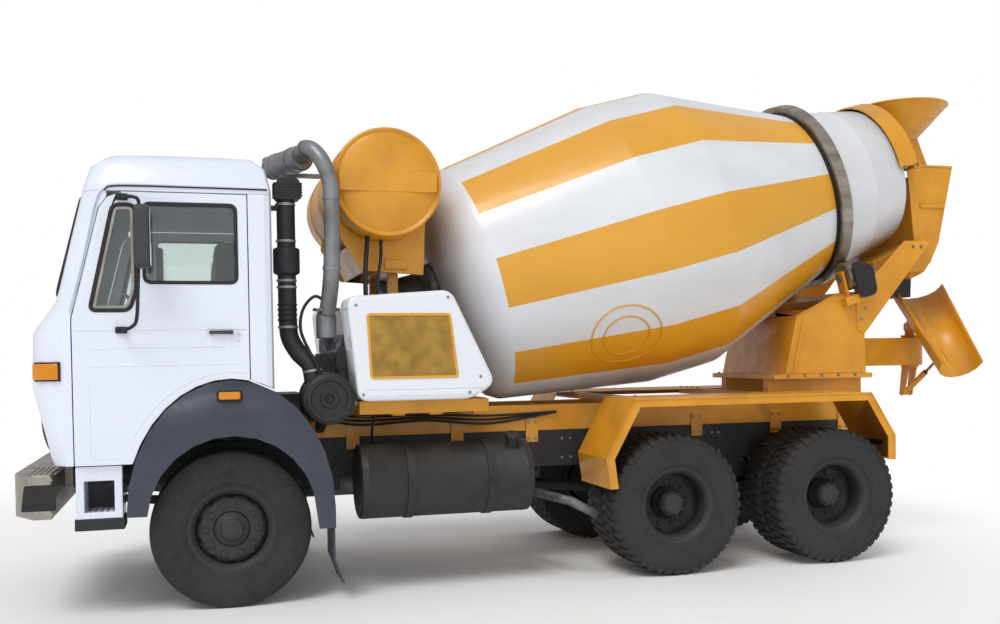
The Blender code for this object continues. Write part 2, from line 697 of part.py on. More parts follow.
def door(side_name, side):
    """One door: the cab's side wall inside the door's outline, with both windows cut."""
    hinge = new_empty(f"door_{side_name}_hinge", (DOOR_FRONT, side * CAB_HALF_WIDTH, CAB_BOTTOM), truck)
    low, high = sorted((side * (CAB_HALF_WIDTH - CAB_WALL - 0.02), side * (CAB_HALF_WIDTH + 0.05)))
    region = plate(f"door_{side_name}_region", "cab_white", door_outline(), low, high)
    panel = cab_shell(f"door_{side_name}", region)
    holes = [plate(f"door_{side_name}_hole_{n}", "cab_white", rounded(w, 0.035, 2), low - 0.1, high + 0.1)
             for n, w in enumerate((QUARTER_WINDOW, DOOR_WINDOW))]
    combine(panel, holes, "DIFFERENCE")
    outer = side * (CAB_HALF_WIDTH - GLASS_INSET)
    low, high = sorted((outer + side * GAP, outer - side * (GLASS + GAP)))
    slot = boxes_object(f"glass_slot_{side_name}", "glass",
                        [((-0.575, low, 2.240), (-0.500, high, 2.600))])
    combine(panel, [slot], "DIFFERENCE")
    low, high = sorted((outer, outer - side * GLASS))
    glass = plate(f"door_glass_{side_name}", "glass", rounded(inset_outline(DOOR_WINDOW, GAP), 0.035, 2),
                  low, high)
    quarter = plate(f"quarter_glass_{side_name}", "glass",
                    rounded(inset_outline(QUARTER_WINDOW, GAP), 0.035, 2),
                    low, high)
    bridge = boxes_object(f"glass_bridge_{side_name}", "glass",
                          [((-0.590, low + 0.0005, 2.240 + GAP), (-0.480, high - 0.0005, 2.600 - GAP))])
    combine(glass, [quarter, bridge])
    combine(panel, mirror_on_door(side_name, side))
    for obj in (panel, glass):
        carry(obj, hinge)


def carry(obj, pivot):
    """Parents an object to an empty on its joint's axis, with its mesh kept where it is."""
    bpy.context.view_layer.update()
    obj.parent = pivot
    obj.matrix_parent_inverse = Matrix.Translation(-pivot.location)


def mirror_on_door(side_name, side):
    """The mirror's bent tube arm, its feet on the door's front edge, and the mirror head."""
    foot = side * (CAB_HALF_WIDTH + 0.006)
    out = side * (CAB_HALF_WIDTH + 0.110)
    route = [(-0.640, foot, 2.700), (-0.600, out, 2.700), (-0.545, out, 2.690), (-0.530, out, 2.640),
             (-0.560, out, 1.930), (-0.620, out, 1.865), (-0.660, foot, 1.862)]
    arm = place(tube_mesh(f"mirror_arm_{side_name}", route, 0.012, 1), f"mirror_arm_{side_name}",
                "chassis_black")
    near, far = sorted((side * (CAB_HALF_WIDTH + 0.095), side * (CAB_HALF_WIDTH + 0.275)))
    head = boxes_object(f"mirror_head_{side_name}", "chassis_black",
                        [((-0.570, near, 2.240), (-0.460, far, 2.640))])
    near, far = sorted((side * (CAB_HALF_WIDTH - 0.010), side * (CAB_HALF_WIDTH + 0.020)))
    feet = [boxes_object(f"mirror_foot_{side_name}_{n}", "chassis_black",
                         [((x - 0.035, near, z - 0.020), (x + 0.035, far, z + 0.020))])
            for n, (x, z) in enumerate(((-0.640, 2.710), (-0.660, 1.862)))]
    return [arm, head] + feet


def windscreen_opening(name, grow):
    """The windscreen's opening, seen from the front, as (y, z)."""
    half_low, half_high = 1.035 + grow, 1.005 + grow
    low, high = WAIST_HEIGHT + 0.045 - grow, EAVES_HEIGHT - 0.050 + grow
    return plate(name, "cab_white", rounded([(-half_low, low), (half_low, low), (half_high, high),
                                             (-half_high, high)],
                                            0.07, 3), -1.5, -0.60, "X")


def cab():
    far = CAB_HALF_WIDTH + 0.2
    # front panel with both windscreen posts
    front_region = plate("cab_front_region", "cab_white",
                         [(-1.5, CAB_BOTTOM - 0.05), (DOOR_FRONT - PANEL_GAP, CAB_BOTTOM - 0.05),
                          (DOOR_FRONT - PANEL_GAP, 1.940), (-0.778 - PANEL_GAP, 2.640),
                          (-0.725 - PANEL_GAP, DOOR_TOP - 0.035), (-0.725 - PANEL_GAP,
                                                                   EAVES_HEIGHT - 0.030),
                          (-1.5, EAVES_HEIGHT - 0.030)], -far, far)
    front = cab_shell("cab_front_panel", front_region)
    combine(front, [windscreen_opening("windscreen_hole", 0.0)], "DIFFERENCE")
    # roof, with the rail above the doors
    roof_region = plate("cab_roof_region", "cab_white",
                        [(-1.5, EAVES_HEIGHT - 0.030 + GAP),
                         (-0.725 - PANEL_GAP + GAP, EAVES_HEIGHT - 0.030 + GAP),
                         (-0.725 - PANEL_GAP + GAP, DOOR_TOP + PANEL_GAP), (CAB_REAR + 0.2,
                                                                            DOOR_TOP + PANEL_GAP),
                         (CAB_REAR + 0.2, ROOF_TOP + 0.1), (-1.5, ROOF_TOP + 0.1)], -far, far)
    cab_shell("cab_roof", roof_region)
    # rear wall with the side posts behind the doors
    arch_start = math.degrees(math.acos((DOOR_REAR + PANEL_GAP - ARCH_X) / (ARCH_HALF_LENGTH + 0.008)))
    rear_region = plate("cab_rear_region", "cab_white",
                        arc(ARCH_X, ARCH_Z, ARCH_HALF_LENGTH + 0.008, ARCH_HEIGHT + 0.008, arch_start,
                            66, 3)
                        + [(CAB_REAR + 0.2, 1.470), (CAB_REAR + 0.2, DOOR_TOP + PANEL_GAP - GAP),
                           (DOOR_REAR + PANEL_GAP, DOOR_TOP + PANEL_GAP - GAP)], -far, far)
    rear = cab_shell("cab_rear_wall", rear_region)
    rear_window = [(-0.62, 2.18), (0.62, 2.18), (0.62, 2.62), (-0.62, 2.62)]
    combine(rear, [plate("rear_window_hole", "cab_white", rounded(rear_window, 0.05, 2), 0.0, 0.5, "X")],
            "DIFFERENCE")
    # glass
    cab_shell("windscreen", windscreen_opening("windscreen_region", -GAP), GLASS_INSET, GLASS, "glass")
    plate("rear_window", "glass", rounded(inset_outline(rear_window, GAP), 0.05, 2),
          CAB_REAR - GLASS_INSET - GLASS, CAB_REAR - GLASS_INSET, "X")
    cab_floor()
    for side_name, side in (("left", -1), ("right", 1)):
        door(side_name, side)


def cab_floor():
    """Footwell ahead of the wheels, and the raised floor over them that carries the seats."""
    wall = CAB_WALL + GAP
    top, step, low = CAB_FLOOR_TOP, CAB_FLOOR_THICKNESS, CAB_BOTTOM + 0.005
    rear = CAB_REAR - wall
    half = CAB_HALF_WIDTH - wall
    floor = plate("cab_floor", "machinery_grey",
                  [(-0.720, top - step), (rear, top - step), (rear, top),
                   (-0.720, top)], -half + 0.020, half - 0.020)
    riser = boxes_object("floor_riser", "machinery_grey",
                         [((-0.730, -half, low), (-0.690, half, top - 0.001))])
    well = boxes_object("footwell", "machinery_grey",
                        [((-1.0545, -1.000, low), (-0.700, 1.000, low + step))])
    cover = boxes_object("engine_tunnel", "machinery_grey",
                         [((-1.050, -0.490, low + 0.005), (-0.700, 0.490, 1.480))])
    tunnel = boxes_object("tunnel_space", "machinery_grey",
                          [((-1.200, -0.450, 0.900), (-0.600, 0.450, 1.440))])
    combine(floor, [riser, well, cover])
    return combine(floor, [tunnel], "DIFFERENCE")


def cab_interior():
    base = CAB_FLOOR_TOP + GAP
    seats = boxes_object("cab_seats", "seat_cloth", [((-0.36, -0.40, base), (0.10, 0.40, 1.88))])
    pieces = []
    for side in (-1, 1):
        near, far = sorted((side * 0.32, side * 0.86))
        pieces.append(boxes_object(f"seat_cushion_{side}", "seat_cloth",
                                   [((-0.42, near, base), (0.06, far, 1.98))]))
        pieces.append(boxes_object(f"seat_back_{side}", "seat_cloth",
                                   [((0.03, near, 1.90), (0.16, far, 2.52))]))
    combine(seats, pieces)
    dash = plate("dashboard", "seat_cloth",
                 [(-1.075, 1.62), (-0.830, 1.72), (-0.830, 1.92), (-0.900, 2.00), (-1.010, 2.00),
                  (-1.1378, 1.88)],
                 -0.90, 0.90)
    bm = bmesh.new()
    column_foot, column_top = (-0.86, 0.59, 1.78), (-0.60, 0.59, 2.06)
    rod(bm, column_foot, column_top, 0.022, 10)
    column = from_bmesh(bm, "steering_column", "seat_cloth")
    bm = bmesh.new()
    along = (Vector(column_top) - Vector(column_foot)).normalized()
    rod(bm, Vector(column_top) - along * 0.012, Vector(column_top) + along * 0.012, 0.225, 20)
    wheel = from_bmesh(bm, "steering_wheel", "seat_cloth")
    combine(dash, [column, wheel])


def cab_step(side_name, side):
    """White step box below the door's front, open towards the side, with a dark tread."""
    outer = CAB_HALF_WIDTH - 0.03

    def span(near, far):
        return sorted((side * near, side * far))

    pieces = {}
    for name, (near, far), (x_low, x_high), (low, high) in (
            (f"cab_step_{side_name}", span(0.86, outer), (-0.955, -0.675), (0.655, CAB_BOTTOM - 0.006)),
            ("well", span(0.93, outer + 0.1), (-0.905, -0.725), (0.700, 0.900)),
            ("tread", span(0.93, outer + 0.010), (-0.965, -0.665), (0.585, 0.660)),
            ("bracket", span(FRAME_WIDTH / 2 + GAP, 0.87), (-0.860, -0.780), (0.800, 0.880))):
        full = name if name.startswith("cab_step") else f"step_{name}_{side_name}"
        pieces[name] = boxes_object(full, "cab_white", [((x_low, near, low), (x_high, far, high))])
    step = pieces[f"cab_step_{side_name}"]
    combine(step, [pieces["well"]], "DIFFERENCE")
    return combine(step, [pieces["tread"], pieces["bracket"]])


def front_mudguard(side_name, side):
    """Arched cover over a front wheel with a broad outer face, a stay to the rail and a mud flap."""
    def span(near, far):
        return sorted((side * near, side * far))

    x = ARCH_X + ARCH_HALF_LENGTH
    outer = arc(ARCH_X, ARCH_Z, ARCH_HALF_LENGTH, ARCH_HEIGHT, 180, 0, 14) + [(x, 0.515)]
    opening = ([(ARCH_X + ARCH_OPENING_RADIUS + 0.015, 0.515)]
               + arc(ARCH_X, ARCH_OPENING_Z, ARCH_OPENING_RADIUS, ARCH_OPENING_RADIUS, 0, 176, 12))
    face = plate(f"front_mudguard_{side_name}", "mudguard_grey", outer + opening,
                 *span(MUDGUARD_FACE_Y - 0.015, MUDGUARD_FACE_Y))
    inside = arc(ARCH_X, ARCH_Z, ARCH_HALF_LENGTH - MUDGUARD_SHEET, ARCH_HEIGHT - MUDGUARD_SHEET, 0, 180,
                 14)
    skin = arc(ARCH_X, ARCH_Z, ARCH_HALF_LENGTH - 0.002, ARCH_HEIGHT - 0.002, 180, 0, 14)
    outline = skin + [(x - 0.002, 0.520), (x - MUDGUARD_SHEET, 0.520)] + inside
    cover = plate(f"mudguard_cover_{side_name}", "mudguard_grey", outline,
                  *span(MUDGUARD_INNER_Y, MUDGUARD_FACE_Y - 0.005))
    near, far = span(FRAME_WIDTH / 2 + GAP, MUDGUARD_INNER_Y + 0.10)
    stay = boxes_object(f"mudguard_stay_{side_name}", "chassis_black",
                        [((x - 0.052, near, 0.90), (x - 0.005, far, 0.95))])
    flap = plate(f"mud_flap_{side_name}", "tyre_rubber",
                 [(x - 0.020, 0.570), (x - 0.006, 0.570), (x - 0.006, 0.30), (x + 0.055, 0.135),
                  (x + 0.040, 0.130), (x - 0.020, 0.30)], *span(0.83, 1.19))
    return combine(face, [cover, stay, flap])


# ---------------------------------------------------------------- tanks and pipes
def fuel_tank():
    """Round tank on the left rail with two hanging brackets and a filler neck."""
    y, z, radius = -0.85, 0.780, 0.265
    bm = bmesh.new()
    rod(bm, (0.87, y, z), (2.12, y, z), radius, 20)
    tank = from_bmesh(bm, "fuel_tank", "chassis_black", smooth=True)
    pieces = []
    for number, x in enumerate((1.22, 1.80)):
        bm = bmesh.new()
        rod(bm, (x - 0.03, y, z), (x + 0.03, y, z), radius + 0.008, 20)
        pieces.append(from_bmesh(bm, f"tank_strap_{number}", "chassis_black"))
        pieces.append(boxes_object(f"tank_bracket_{number}", "chassis_black",
                                   [((x - 0.045, -0.70, z - 0.10),
                                     (x + 0.045, -FRAME_WIDTH / 2 - GAP, z + 0.22))]))
    bm = bmesh.new()
    rod(bm, (1.98, y - 0.10, z + 0.18), (1.98, y - 0.16, z + 0.315), 0.045, 12)
    pieces.append(from_bmesh(bm, "filler_neck", "chassis_black"))
    return combine(tank, pieces)


def engine_and_exhaust():
    """The road engine as one block, its silencer under the frame and its bent tail pipe."""
    block = boxes_object("engine_and_exhaust", "machinery_grey",
                         [((-0.90, -0.30, 0.72), (0.55, 0.30, 1.40))])
    bm = bmesh.new()
    rod(bm, (0.50, -0.20, 0.72), (1.20, -0.20, 0.72), 0.11, 16)
    silencer = from_bmesh(bm, "silencer", "chassis_black")
    route = [(1.15, -0.20, 0.68), (1.60, -0.25, 0.62), (2.15, -0.30, 0.60), (2.29, -0.55, 0.60),
             (2.33, -0.90, 0.60),
             (2.42, -1.00, 0.58), (2.62, -1.02, 0.47)]
    tail = place(tube_mesh("tail_pipe", route, 0.035, 1), "tail_pipe", "chassis_black")
    feet = []
    for side in (-1, 1):
        near, far = sorted((side * 0.29, side * (FRAME_WIDTH / 2 - RAIL_WEB - GAP)))
        feet.append(boxes_object(f"engine_foot_{side}", "chassis_black",
                                 [((-0.30, near, 0.90), (-0.18, far, 0.98))]))
    return combine(block, [silencer, tail] + feet)


def air_intake():
    """The road engine's snorkel behind the cab, down to its round air cleaner."""
    y = -0.95
    route = [(0.400, y, 2.76), (0.400, y, 1.90), (0.410, y, 1.80), (0.470, y - 0.02, 1.70),
             (0.545, y - 0.05, 1.63),
             (0.560, y - 0.07, 1.50)]
    pipe = place(tube_mesh("air_intake", route, 0.062, 1), "air_intake", "chassis_black")
    cap = boxes_object("snorkel_cap", "chassis_black",
                       [((0.325, y - 0.085, 2.745), (0.500, y + 0.085, 2.900))])
    bm = bmesh.new()
    rod(bm, (0.398, y, 2.24), (0.398, y, 2.42), 0.088, 14)
    swell = from_bmesh(bm, "snorkel_swell", "chassis_black")
    bm = bmesh.new()
    rod(bm, (0.655, y - 0.18, 1.385), (0.655, y + 0.20, 1.385), 0.175, 24)
    cleaner = from_bmesh(bm, "air_cleaner", "chassis_black")
    bracket = plate("air_cleaner_bracket", "chassis_black",
                    [(-FRAME_WIDTH / 2 - GAP, 1.11), (-FRAME_WIDTH / 2 - GAP, 1.17), (-0.80, 1.30),
                     (-0.84, 1.24)],
                    0.625, 0.685, "X")
    stay = boxes_object("snorkel_stay", "chassis_black",
                        [((CAB_REAR + GAP, y - 0.03, 2.68), (0.40, y + 0.03, 2.71))])
    return combine(pipe, [cap, swell, cleaner, bracket, stay])


# ---------------------------------------------------------------- drum drive
def engine_cover(side_name, side):
    """Moulded cover on one side of the drum's engine, with a sloping back."""
    low = PLATFORM_TOP + GAP
    outline = rounded([(0.845, low), (1.640, low), (1.815, 1.470), (1.500, 2.130), (0.770, 2.080)],
                      0.055, 2)
    return plate(f"engine_cover_{side_name}", "cover_white", outline, *sorted((side * 0.80, side * 1.20)))


def drum_engine():
    """The drum's engine as one block, and its exhaust: a pot beside it, the pipe and the canister behind the roof."""
    engine = boxes_object("drum_engine", "machinery_grey",
                          [((0.72, -0.66, PLATFORM_TOP + GAP), (1.16, 0.66, 1.85))])
    bm = bmesh.new()
    rod(bm, (0.360, -0.250, 3.085), (0.540, -0.750, 3.085), 0.090, 20)
    canister = from_bmesh(bm, "exhaust_canister", "machinery_grey")
    route = [(0.530, -0.74, 3.09), (0.545, -0.88, 3.120), (0.585, -0.98, 3.10), (0.645, -1.045, 3.01),
             (0.690, -1.058, 2.88), (0.700, -1.058, 2.70), (0.695, -1.05, 2.30), (0.680, -1.00, 2.08),
             (0.665, -0.94, 1.96)]
    pipe = place(tube_mesh("drum_exhaust_pipe", route, 0.056, 1), "drum_exhaust_pipe", "machinery_grey")
    bm = bmesh.new()
    rod(bm, (0.665, -0.92, 1.80), (0.665, -0.92, 1.97), 0.070, 16)
    pot = from_bmesh(bm, "exhaust_pot", "machinery_grey")
    elbow = boxes_object("exhaust_elbow", "machinery_grey", [((0.64, -0.93, 1.70), (0.74, -0.64, 1.81))])
    bracket = boxes_object("canister_bracket", "machinery_grey",
                           [((0.42, -0.49, 2.985), (0.730, -0.45, 3.015))])
    return combine(engine, [canister, pipe, pot, elbow, bracket])


def water_tank():
    bm = bmesh.new()
    rod(bm, (TANK_X, -TANK_HALF_LENGTH, TANK_Z), (TANK_X, TANK_HALF_LENGTH, TANK_Z), TANK_RADIUS, 32)
    tank = from_bmesh(bm, "water_tank", "yellow_paint", smooth=True)
    band = boxes_object("tank_name_band", "yellow_paint",
                        [((TANK_X - TANK_RADIUS - 0.012, -TANK_HALF_LENGTH - 0.012, TANK_Z - 0.075),
                          (TANK_X + TANK_RADIUS + 0.004, -TANK_HALF_LENGTH + 0.060, TANK_Z + 0.075))])
    return combine(tank, [band])


def drum_pedestal_front():
    """Stand for the drum's gearbox, with the legs and saddles that carry the water tank."""
    low = PLATFORM_TOP + GAP
    top = 1.840
    stand = boxes_object("front_pedestal", "yellow_paint",
                         [((1.230, -0.360, top - 0.030), (1.580, 0.360, top))])
    pieces = []
    for side in (-1, 1):
        near, far = sorted((side * 0.330, side * 0.350))
        pieces.append(plate(f"stand_side_{side}", "yellow_paint",
                            [(1.200, low), (1.600, low), (1.560, top - 0.020),
                             (1.250, top - 0.020)], near, far))
        near, far = sorted((side * 0.420, side * 0.500))
        pieces.append(boxes_object(f"tank_leg_{side}", "yellow_paint",
                                   [((1.180, near, low), (1.250, far, 2.330))]))
        near, far = sorted((side * 0.340, side * 0.430))
        pieces.append(boxes_object(f"leg_tie_{side}", "yellow_paint",
                                   [((1.190, near, low + 0.10), (1.240, far, low + 0.18))]))
        near, far = sorted((side * 0.600, side * 0.622))
        saddle = plate(f"saddle_{side}", "yellow_paint",
                       [(0.800, 2.560), (0.960, 2.300), (1.420, 2.270), (1.440, 2.700)]
                       + arc(TANK_X, TANK_Z, TANK_RADIUS + 0.0025, TANK_RADIUS + 0.0025, -32, -140,
                             10), near, far)
        pieces.append(saddle)
    pieces.append(boxes_object("saddle_beam", "yellow_paint",
                               [((1.130, -0.640, 2.310), (1.290, 0.640, 2.380))]))
    pieces.append(plate("saddle_apron", "yellow_paint",
                        [(0.985, 2.300), (1.005, 2.300), (0.900, 2.500), (0.880, 2.490)], -0.61, 0.61))
    return combine(stand, pieces)


def drum_gearbox():
    """Gearbox on the drum's axis with its output flange, and the motor ahead of it."""
    bm = bmesh.new()
    rod(bm, drum_point(HEAD_S - GAP), drum_point(HEAD_S - 0.07), 0.26, 24)
    flange = from_bmesh(bm, "drum_gearbox", "machinery_grey")
    bm = bmesh.new()
    rod(bm, drum_point(HEAD_S - 0.05), drum_point(-0.72), 0.21, 24)
    case = from_bmesh(bm, "gearbox_case", "machinery_grey")
    bm = bmesh.new()
    rod(bm, drum_point(-0.70), drum_point(-0.98), 0.10, 16)
    motor = from_bmesh(bm, "hydraulic_motor", "machinery_grey")
    foot = boxes_object("gearbox_foot", "machinery_grey",
                        [((1.280, -0.180, 1.840 + GAP), (1.520, 0.180, 2.080))])
    return combine(flange, [case, motor, foot])


# ---------------------------------------------------------------- drum
def drum():
    """Shell and track ring on the drum's axis. The lathe's +z runs back along the axis."""
    axis = new_empty("drum_axis", (DRUM_X, 0, DRUM_Z), truck, (0, math.pi / 2 - DRUM_TILT, 0))
    # radius, distance along the axis, mouth first so that the profile runs down its outer side
    profile = [(MOUTH_RADIUS, MOUTH_S), (SEAT_RADIUS, SEAT_END), (SEAT_RADIUS, SEAT_START),
               (BELLY_RADIUS, BELLY_END), (BELLY_RADIUS, BELLY_START), (STRIPE_RADIUS, 0.0),
               (0.900, -0.110), (0.760, -0.200), (0.520, -0.270), (HEAD_RADIUS, HEAD_S), (0, HEAD_S)]
    shell = lathe("drum_shell", "drum_white", profile, DRUM_SIDES, axis)
    thicken(shell, DRUM_SHEET)
    middle = (SEAT_START + SEAT_END) / 2
    inner = SEAT_RADIUS + GAP
    ring = lathe("drum_ring", "steel",
                 [(inner, middle + RING_WIDTH / 2), (RING_RADIUS, middle + RING_WIDTH / 2),
                  (RING_RADIUS, middle - RING_WIDTH / 2), (inner,
                                                           middle - RING_WIDTH / 2)], DRUM_SIDES, axis, closed=True)
    return shell, ring


def roller_centre(side):
    middle = (SEAT_START + SEAT_END) / 2
    reach = RING_RADIUS + ROLLER_RADIUS + GAP
    return drum_point(middle, reach * math.cos(ROLLER_ANGLE), side * reach * math.sin(ROLLER_ANGLE))


def rollers():
    for side_name, side in (("left", -1), ("right", 1)):
        half, shaft = ROLLER_WIDTH / 2, ROLLER_WIDTH / 2 + ROLLER_LUG + 0.020
        pivot = new_empty(f"roller_{side_name}_axis", roller_centre(side), truck,
                          (0, math.pi / 2 - DRUM_TILT, 0))
        roller = lathe(f"drum_roller_{side_name}", "steel",
                       [(0, shaft), (ROLLER_SHAFT, shaft), (ROLLER_SHAFT, half), (ROLLER_RADIUS, half),
                        (ROLLER_RADIUS, -half), (ROLLER_SHAFT, -half), (ROLLER_SHAFT, -shaft), (0,
                                                                                                -shaft)],
                       24, pivot)
        roller.rotation_euler = (0, 0, -side * ROLLER_ANGLE)


# ---------------------------------------------------------------- rear structure
def rear_pedestal():
    """Plated box that carries the rollers, with the arm for the chute and the hopper's stays."""
    half, sheet = PEDESTAL_HALF_WIDTH, PEDESTAL_PLATE
    base = SUBFRAME_TOP + GAP
    front, rear = PEDESTAL_FRONT, PEDESTAL_REAR
    body = plate("rear_pedestal", "yellow_paint",
                 [(front - 0.10, BASE_TOP - 0.04), (rear + 0.06, BASE_TOP - 0.04),
                                                   (rear + 0.06, BASE_TOP), (front - 0.10,
                                                                             BASE_TOP)], -half, half)
    pieces = []
    for side in (-1, 1):
        near, far = sorted((side * (FRAME_WIDTH / 2), side * (FRAME_WIDTH / 2 - BEAM_WIDTH)))
        pieces.append(boxes_object(f"pedestal_sill_{side}", "yellow_paint",
                                   [((front - 0.08, near, base), (rear + 0.04, far, BASE_TOP - 0.02))]))
        near, far = sorted((side * half, side * (half - sheet)))
        pieces.append(plate(f"pedestal_side_{side}", "yellow_paint",
                            [(front, BASE_TOP - 0.02), (rear, BASE_TOP - 0.02), (rear - 0.02, 2.020),
                             (rear - 0.10, 2.130),
                             (front + 0.47, 2.130), (front + 0.115, 1.960)], near, far))
    pieces.append(plate("pedestal_front", "yellow_paint",
                        [(front, BASE_TOP - 0.02), (front + sheet, BASE_TOP - 0.02),
                         (front + 0.115 + sheet, 1.960),
                         (front + 0.115, 1.960)], -half + 0.001, half - 0.001))
    pieces.append(boxes_object("pedestal_back", "yellow_paint",
                               [((rear - 0.045, -half + 0.001, BASE_TOP - 0.02),
                                 (rear - 0.025, half - 0.001, 1.99))]))
    pieces += roller_bearers()
    pieces.append(boxes_object("chute_arm", "yellow_paint",
                               [((rear - 0.04, -0.11, ARM_BOTTOM), (SWIVEL_X, 0.11, ARM_TOP))]))
    bm = bmesh.new()
    rod(bm, (SWIVEL_X, 0, ARM_BOTTOM), (SWIVEL_X, 0, ARM_TOP), BEARING_RADIUS + 0.03, 20)
    pieces.append(from_bmesh(bm, "swivel_bearing", "yellow_paint"))
    for side in (-1, 1):
        near, far = sorted((side * (half + 0.010), side * (half - 0.005)))
        pieces.append(plate(f"hopper_stay_{side}", "yellow_paint",
                            [(rear - 0.09, 1.84), (rear - 0.02, 1.80), (5.900, 2.600), (5.640, 2.600),
                             (rear - 0.10, 2.12)], near, far))
        near, far = sorted((side * (half + 0.005), side * 0.4704))
        pieces.append(boxes_object(f"stay_foot_{side}", "yellow_paint",
                                   [((5.830, near, 2.570), (5.890, far, 2.600))]))
    combine(body, pieces)
    bm = bmesh.new()
    rod(bm, (SWIVEL_X, 0, ARM_BOTTOM - 0.1), (SWIVEL_X, 0, ARM_TOP + 0.1),
        bore_radius(SWIVEL_RADIUS, 16), 16)
    bore = from_bmesh(bm, "swivel_bore", "yellow_paint")
    return combine(body, [bore] + roller_bores(), "DIFFERENCE")


def roller_lug_spans():
    """Where the lugs stand along the drum's axis, before and behind the roller."""
    middle = (SEAT_START + SEAT_END) / 2
    inner = ROLLER_WIDTH / 2 + 0.006
    return [(middle - inner - ROLLER_LUG, middle - inner), (middle + inner, middle + inner + ROLLER_LUG)]


def roller_bearers():
    """Sloping cross beam under the rollers, and two lugs for each roller's shaft."""
    made = []
    tilt = (0, -DRUM_TILT, 0)
    middle = (SEAT_START + SEAT_END) / 2
    reach = RING_RADIUS + ROLLER_RADIUS + GAP
    down = reach * math.cos(ROLLER_ANGLE)
    beam = boxes_object("roller_beam", "yellow_paint", [((-0.14, -0.66, -0.235), (0.14, 0.66, -0.165))])
    beam.location = drum_point(middle, down)
    beam.rotation_euler = tilt
    made.append(beam)
    for side in (-1, 1):
        for number, (start, end) in enumerate(roller_lug_spans()):
            near, far = sorted((side * (reach * math.sin(ROLLER_ANGLE) - 0.055),
                                side * (reach * math.sin(ROLLER_ANGLE) + 0.055)))
            lug = boxes_object(f"roller_lug_{side}_{number}", "yellow_paint",
                               [((start - middle, near, -0.20), (end - middle, far, 0.050))])
            lug.location = drum_point(middle, down)
            lug.rotation_euler = tilt
            made.append(lug)
    return made


def roller_bores():
    made = []
    for side in (-1, 1):
        centre = roller_centre(side)
        along = Vector((math.cos(DRUM_TILT), 0, math.sin(DRUM_TILT)))
        bm = bmesh.new()
        rod(bm, centre - along * 0.15, centre + along * 0.15, bore_radius(ROLLER_SHAFT, 24), 24)
        made.append(from_bmesh(bm, f"roller_bore_{side}", "yellow_paint"))
    return made


def rear_mudguards():
    """Folded sheet over both drive axles on each side, with an outer lip, on two tubes across the subframe."""
    top = 1.330
    line = [(2.655, 0.680), (2.625, 0.900), (2.855, top), (4.850, top), (5.060, 0.990), (5.060, 0.800)]
    offset = [(x + dx, z + dz) for (x, z), (dx, dz) in zip(line,
                                                           [(0.008, 0), (0.008, -0.002), (0.005, -0.008),
                                                                  (-0.005, -0.008), (-0.008,
                                                                                     -0.002), (-0.008,
                                                                                               0)])]
    skin = plate("rear_mudguards", "yellow_paint", line + offset[::-1], 0.600, 1.232)
    lip_inner = [(2.715, 0.680), (2.687, 0.895), (2.895, top - 0.060), (4.815, top - 0.060),
                 (5.000, 0.975), (5.000, 0.800)]
    lip_outer = [(x + dx, z - 0.002) for (x, z), dx in zip(line,
                                                           (0.002, 0.002, 0.002, -0.002, -0.002, -0.002))]
    lip = plate("mudguard_lip", "yellow_paint", lip_outer + lip_inner[::-1], 1.224, 1.233)
    low = SUBFRAME_TOP + GAP
    stays = [boxes_object(f"rear_mudguard_stay_{n}", "yellow_paint",
                          [((x - 0.03, -1.10, low), (x + 0.03, 1.10, low + 0.055))])
             for n, x in enumerate((3.05, 4.30))]
    combine(skin, [lip])
    return combine(mirror(skin), stays)


def discharge_hopper():
    """Hopper behind the drum's mouth, open towards it, reaching forward below it and narrowing to an outlet."""
    # height, front x, back x, half width
    sections = [(3.260, 5.720, 6.180, 0.500), (2.600, 5.815, 6.055, 0.470),
                (2.420, 5.420, 5.995, 0.430), (2.350, 5.460, 5.980, 0.380), (2.295, 5.770, 5.965, 0.200)]
    bm = bmesh.new()
    rows = []
    for height, front, back, half in sections:
        rows.append([bm.verts.new(co) for co in ((front, -half, height), (back, -half, height),
                                                 (back, half, height), (front, half, height))])
    for number, (upper, lower) in enumerate(zip(rows, rows[1:])):
        for i in range(3 if number == 0 else 4):
            j = (i + 1) % 4
            bm.faces.new((upper[i], lower[i], lower[j], upper[j]))
    walls = thicken(from_bmesh(bm, "discharge_hopper", "yellow_paint"), 0.008)
    axis = new_empty("collar_axis", (DRUM_X, 0, DRUM_Z), truck, (0, math.pi / 2 - DRUM_TILT, 0))
    collar = lathe("neck_collar", "yellow_paint", [(0.640, MOUTH_S + 0.115), (0.640, MOUTH_S - 0.060)],
                   24, axis)
    collar.modifiers["turn"].angle = math.pi
    collar.rotation_euler = (0, 0, math.pi / 2)
    thicken(collar, 0.014, inwards=False)
    ears = []
    for side in (-1, 1):
        near, far = sorted((side * 0.470, side * 0.650))
        ears.append(boxes_object(f"collar_ear_{side}", "yellow_paint",
                                 [((5.690, near, 3.215), (5.745, far, 3.275))]))
    return combine(walls, [collar] + ears)


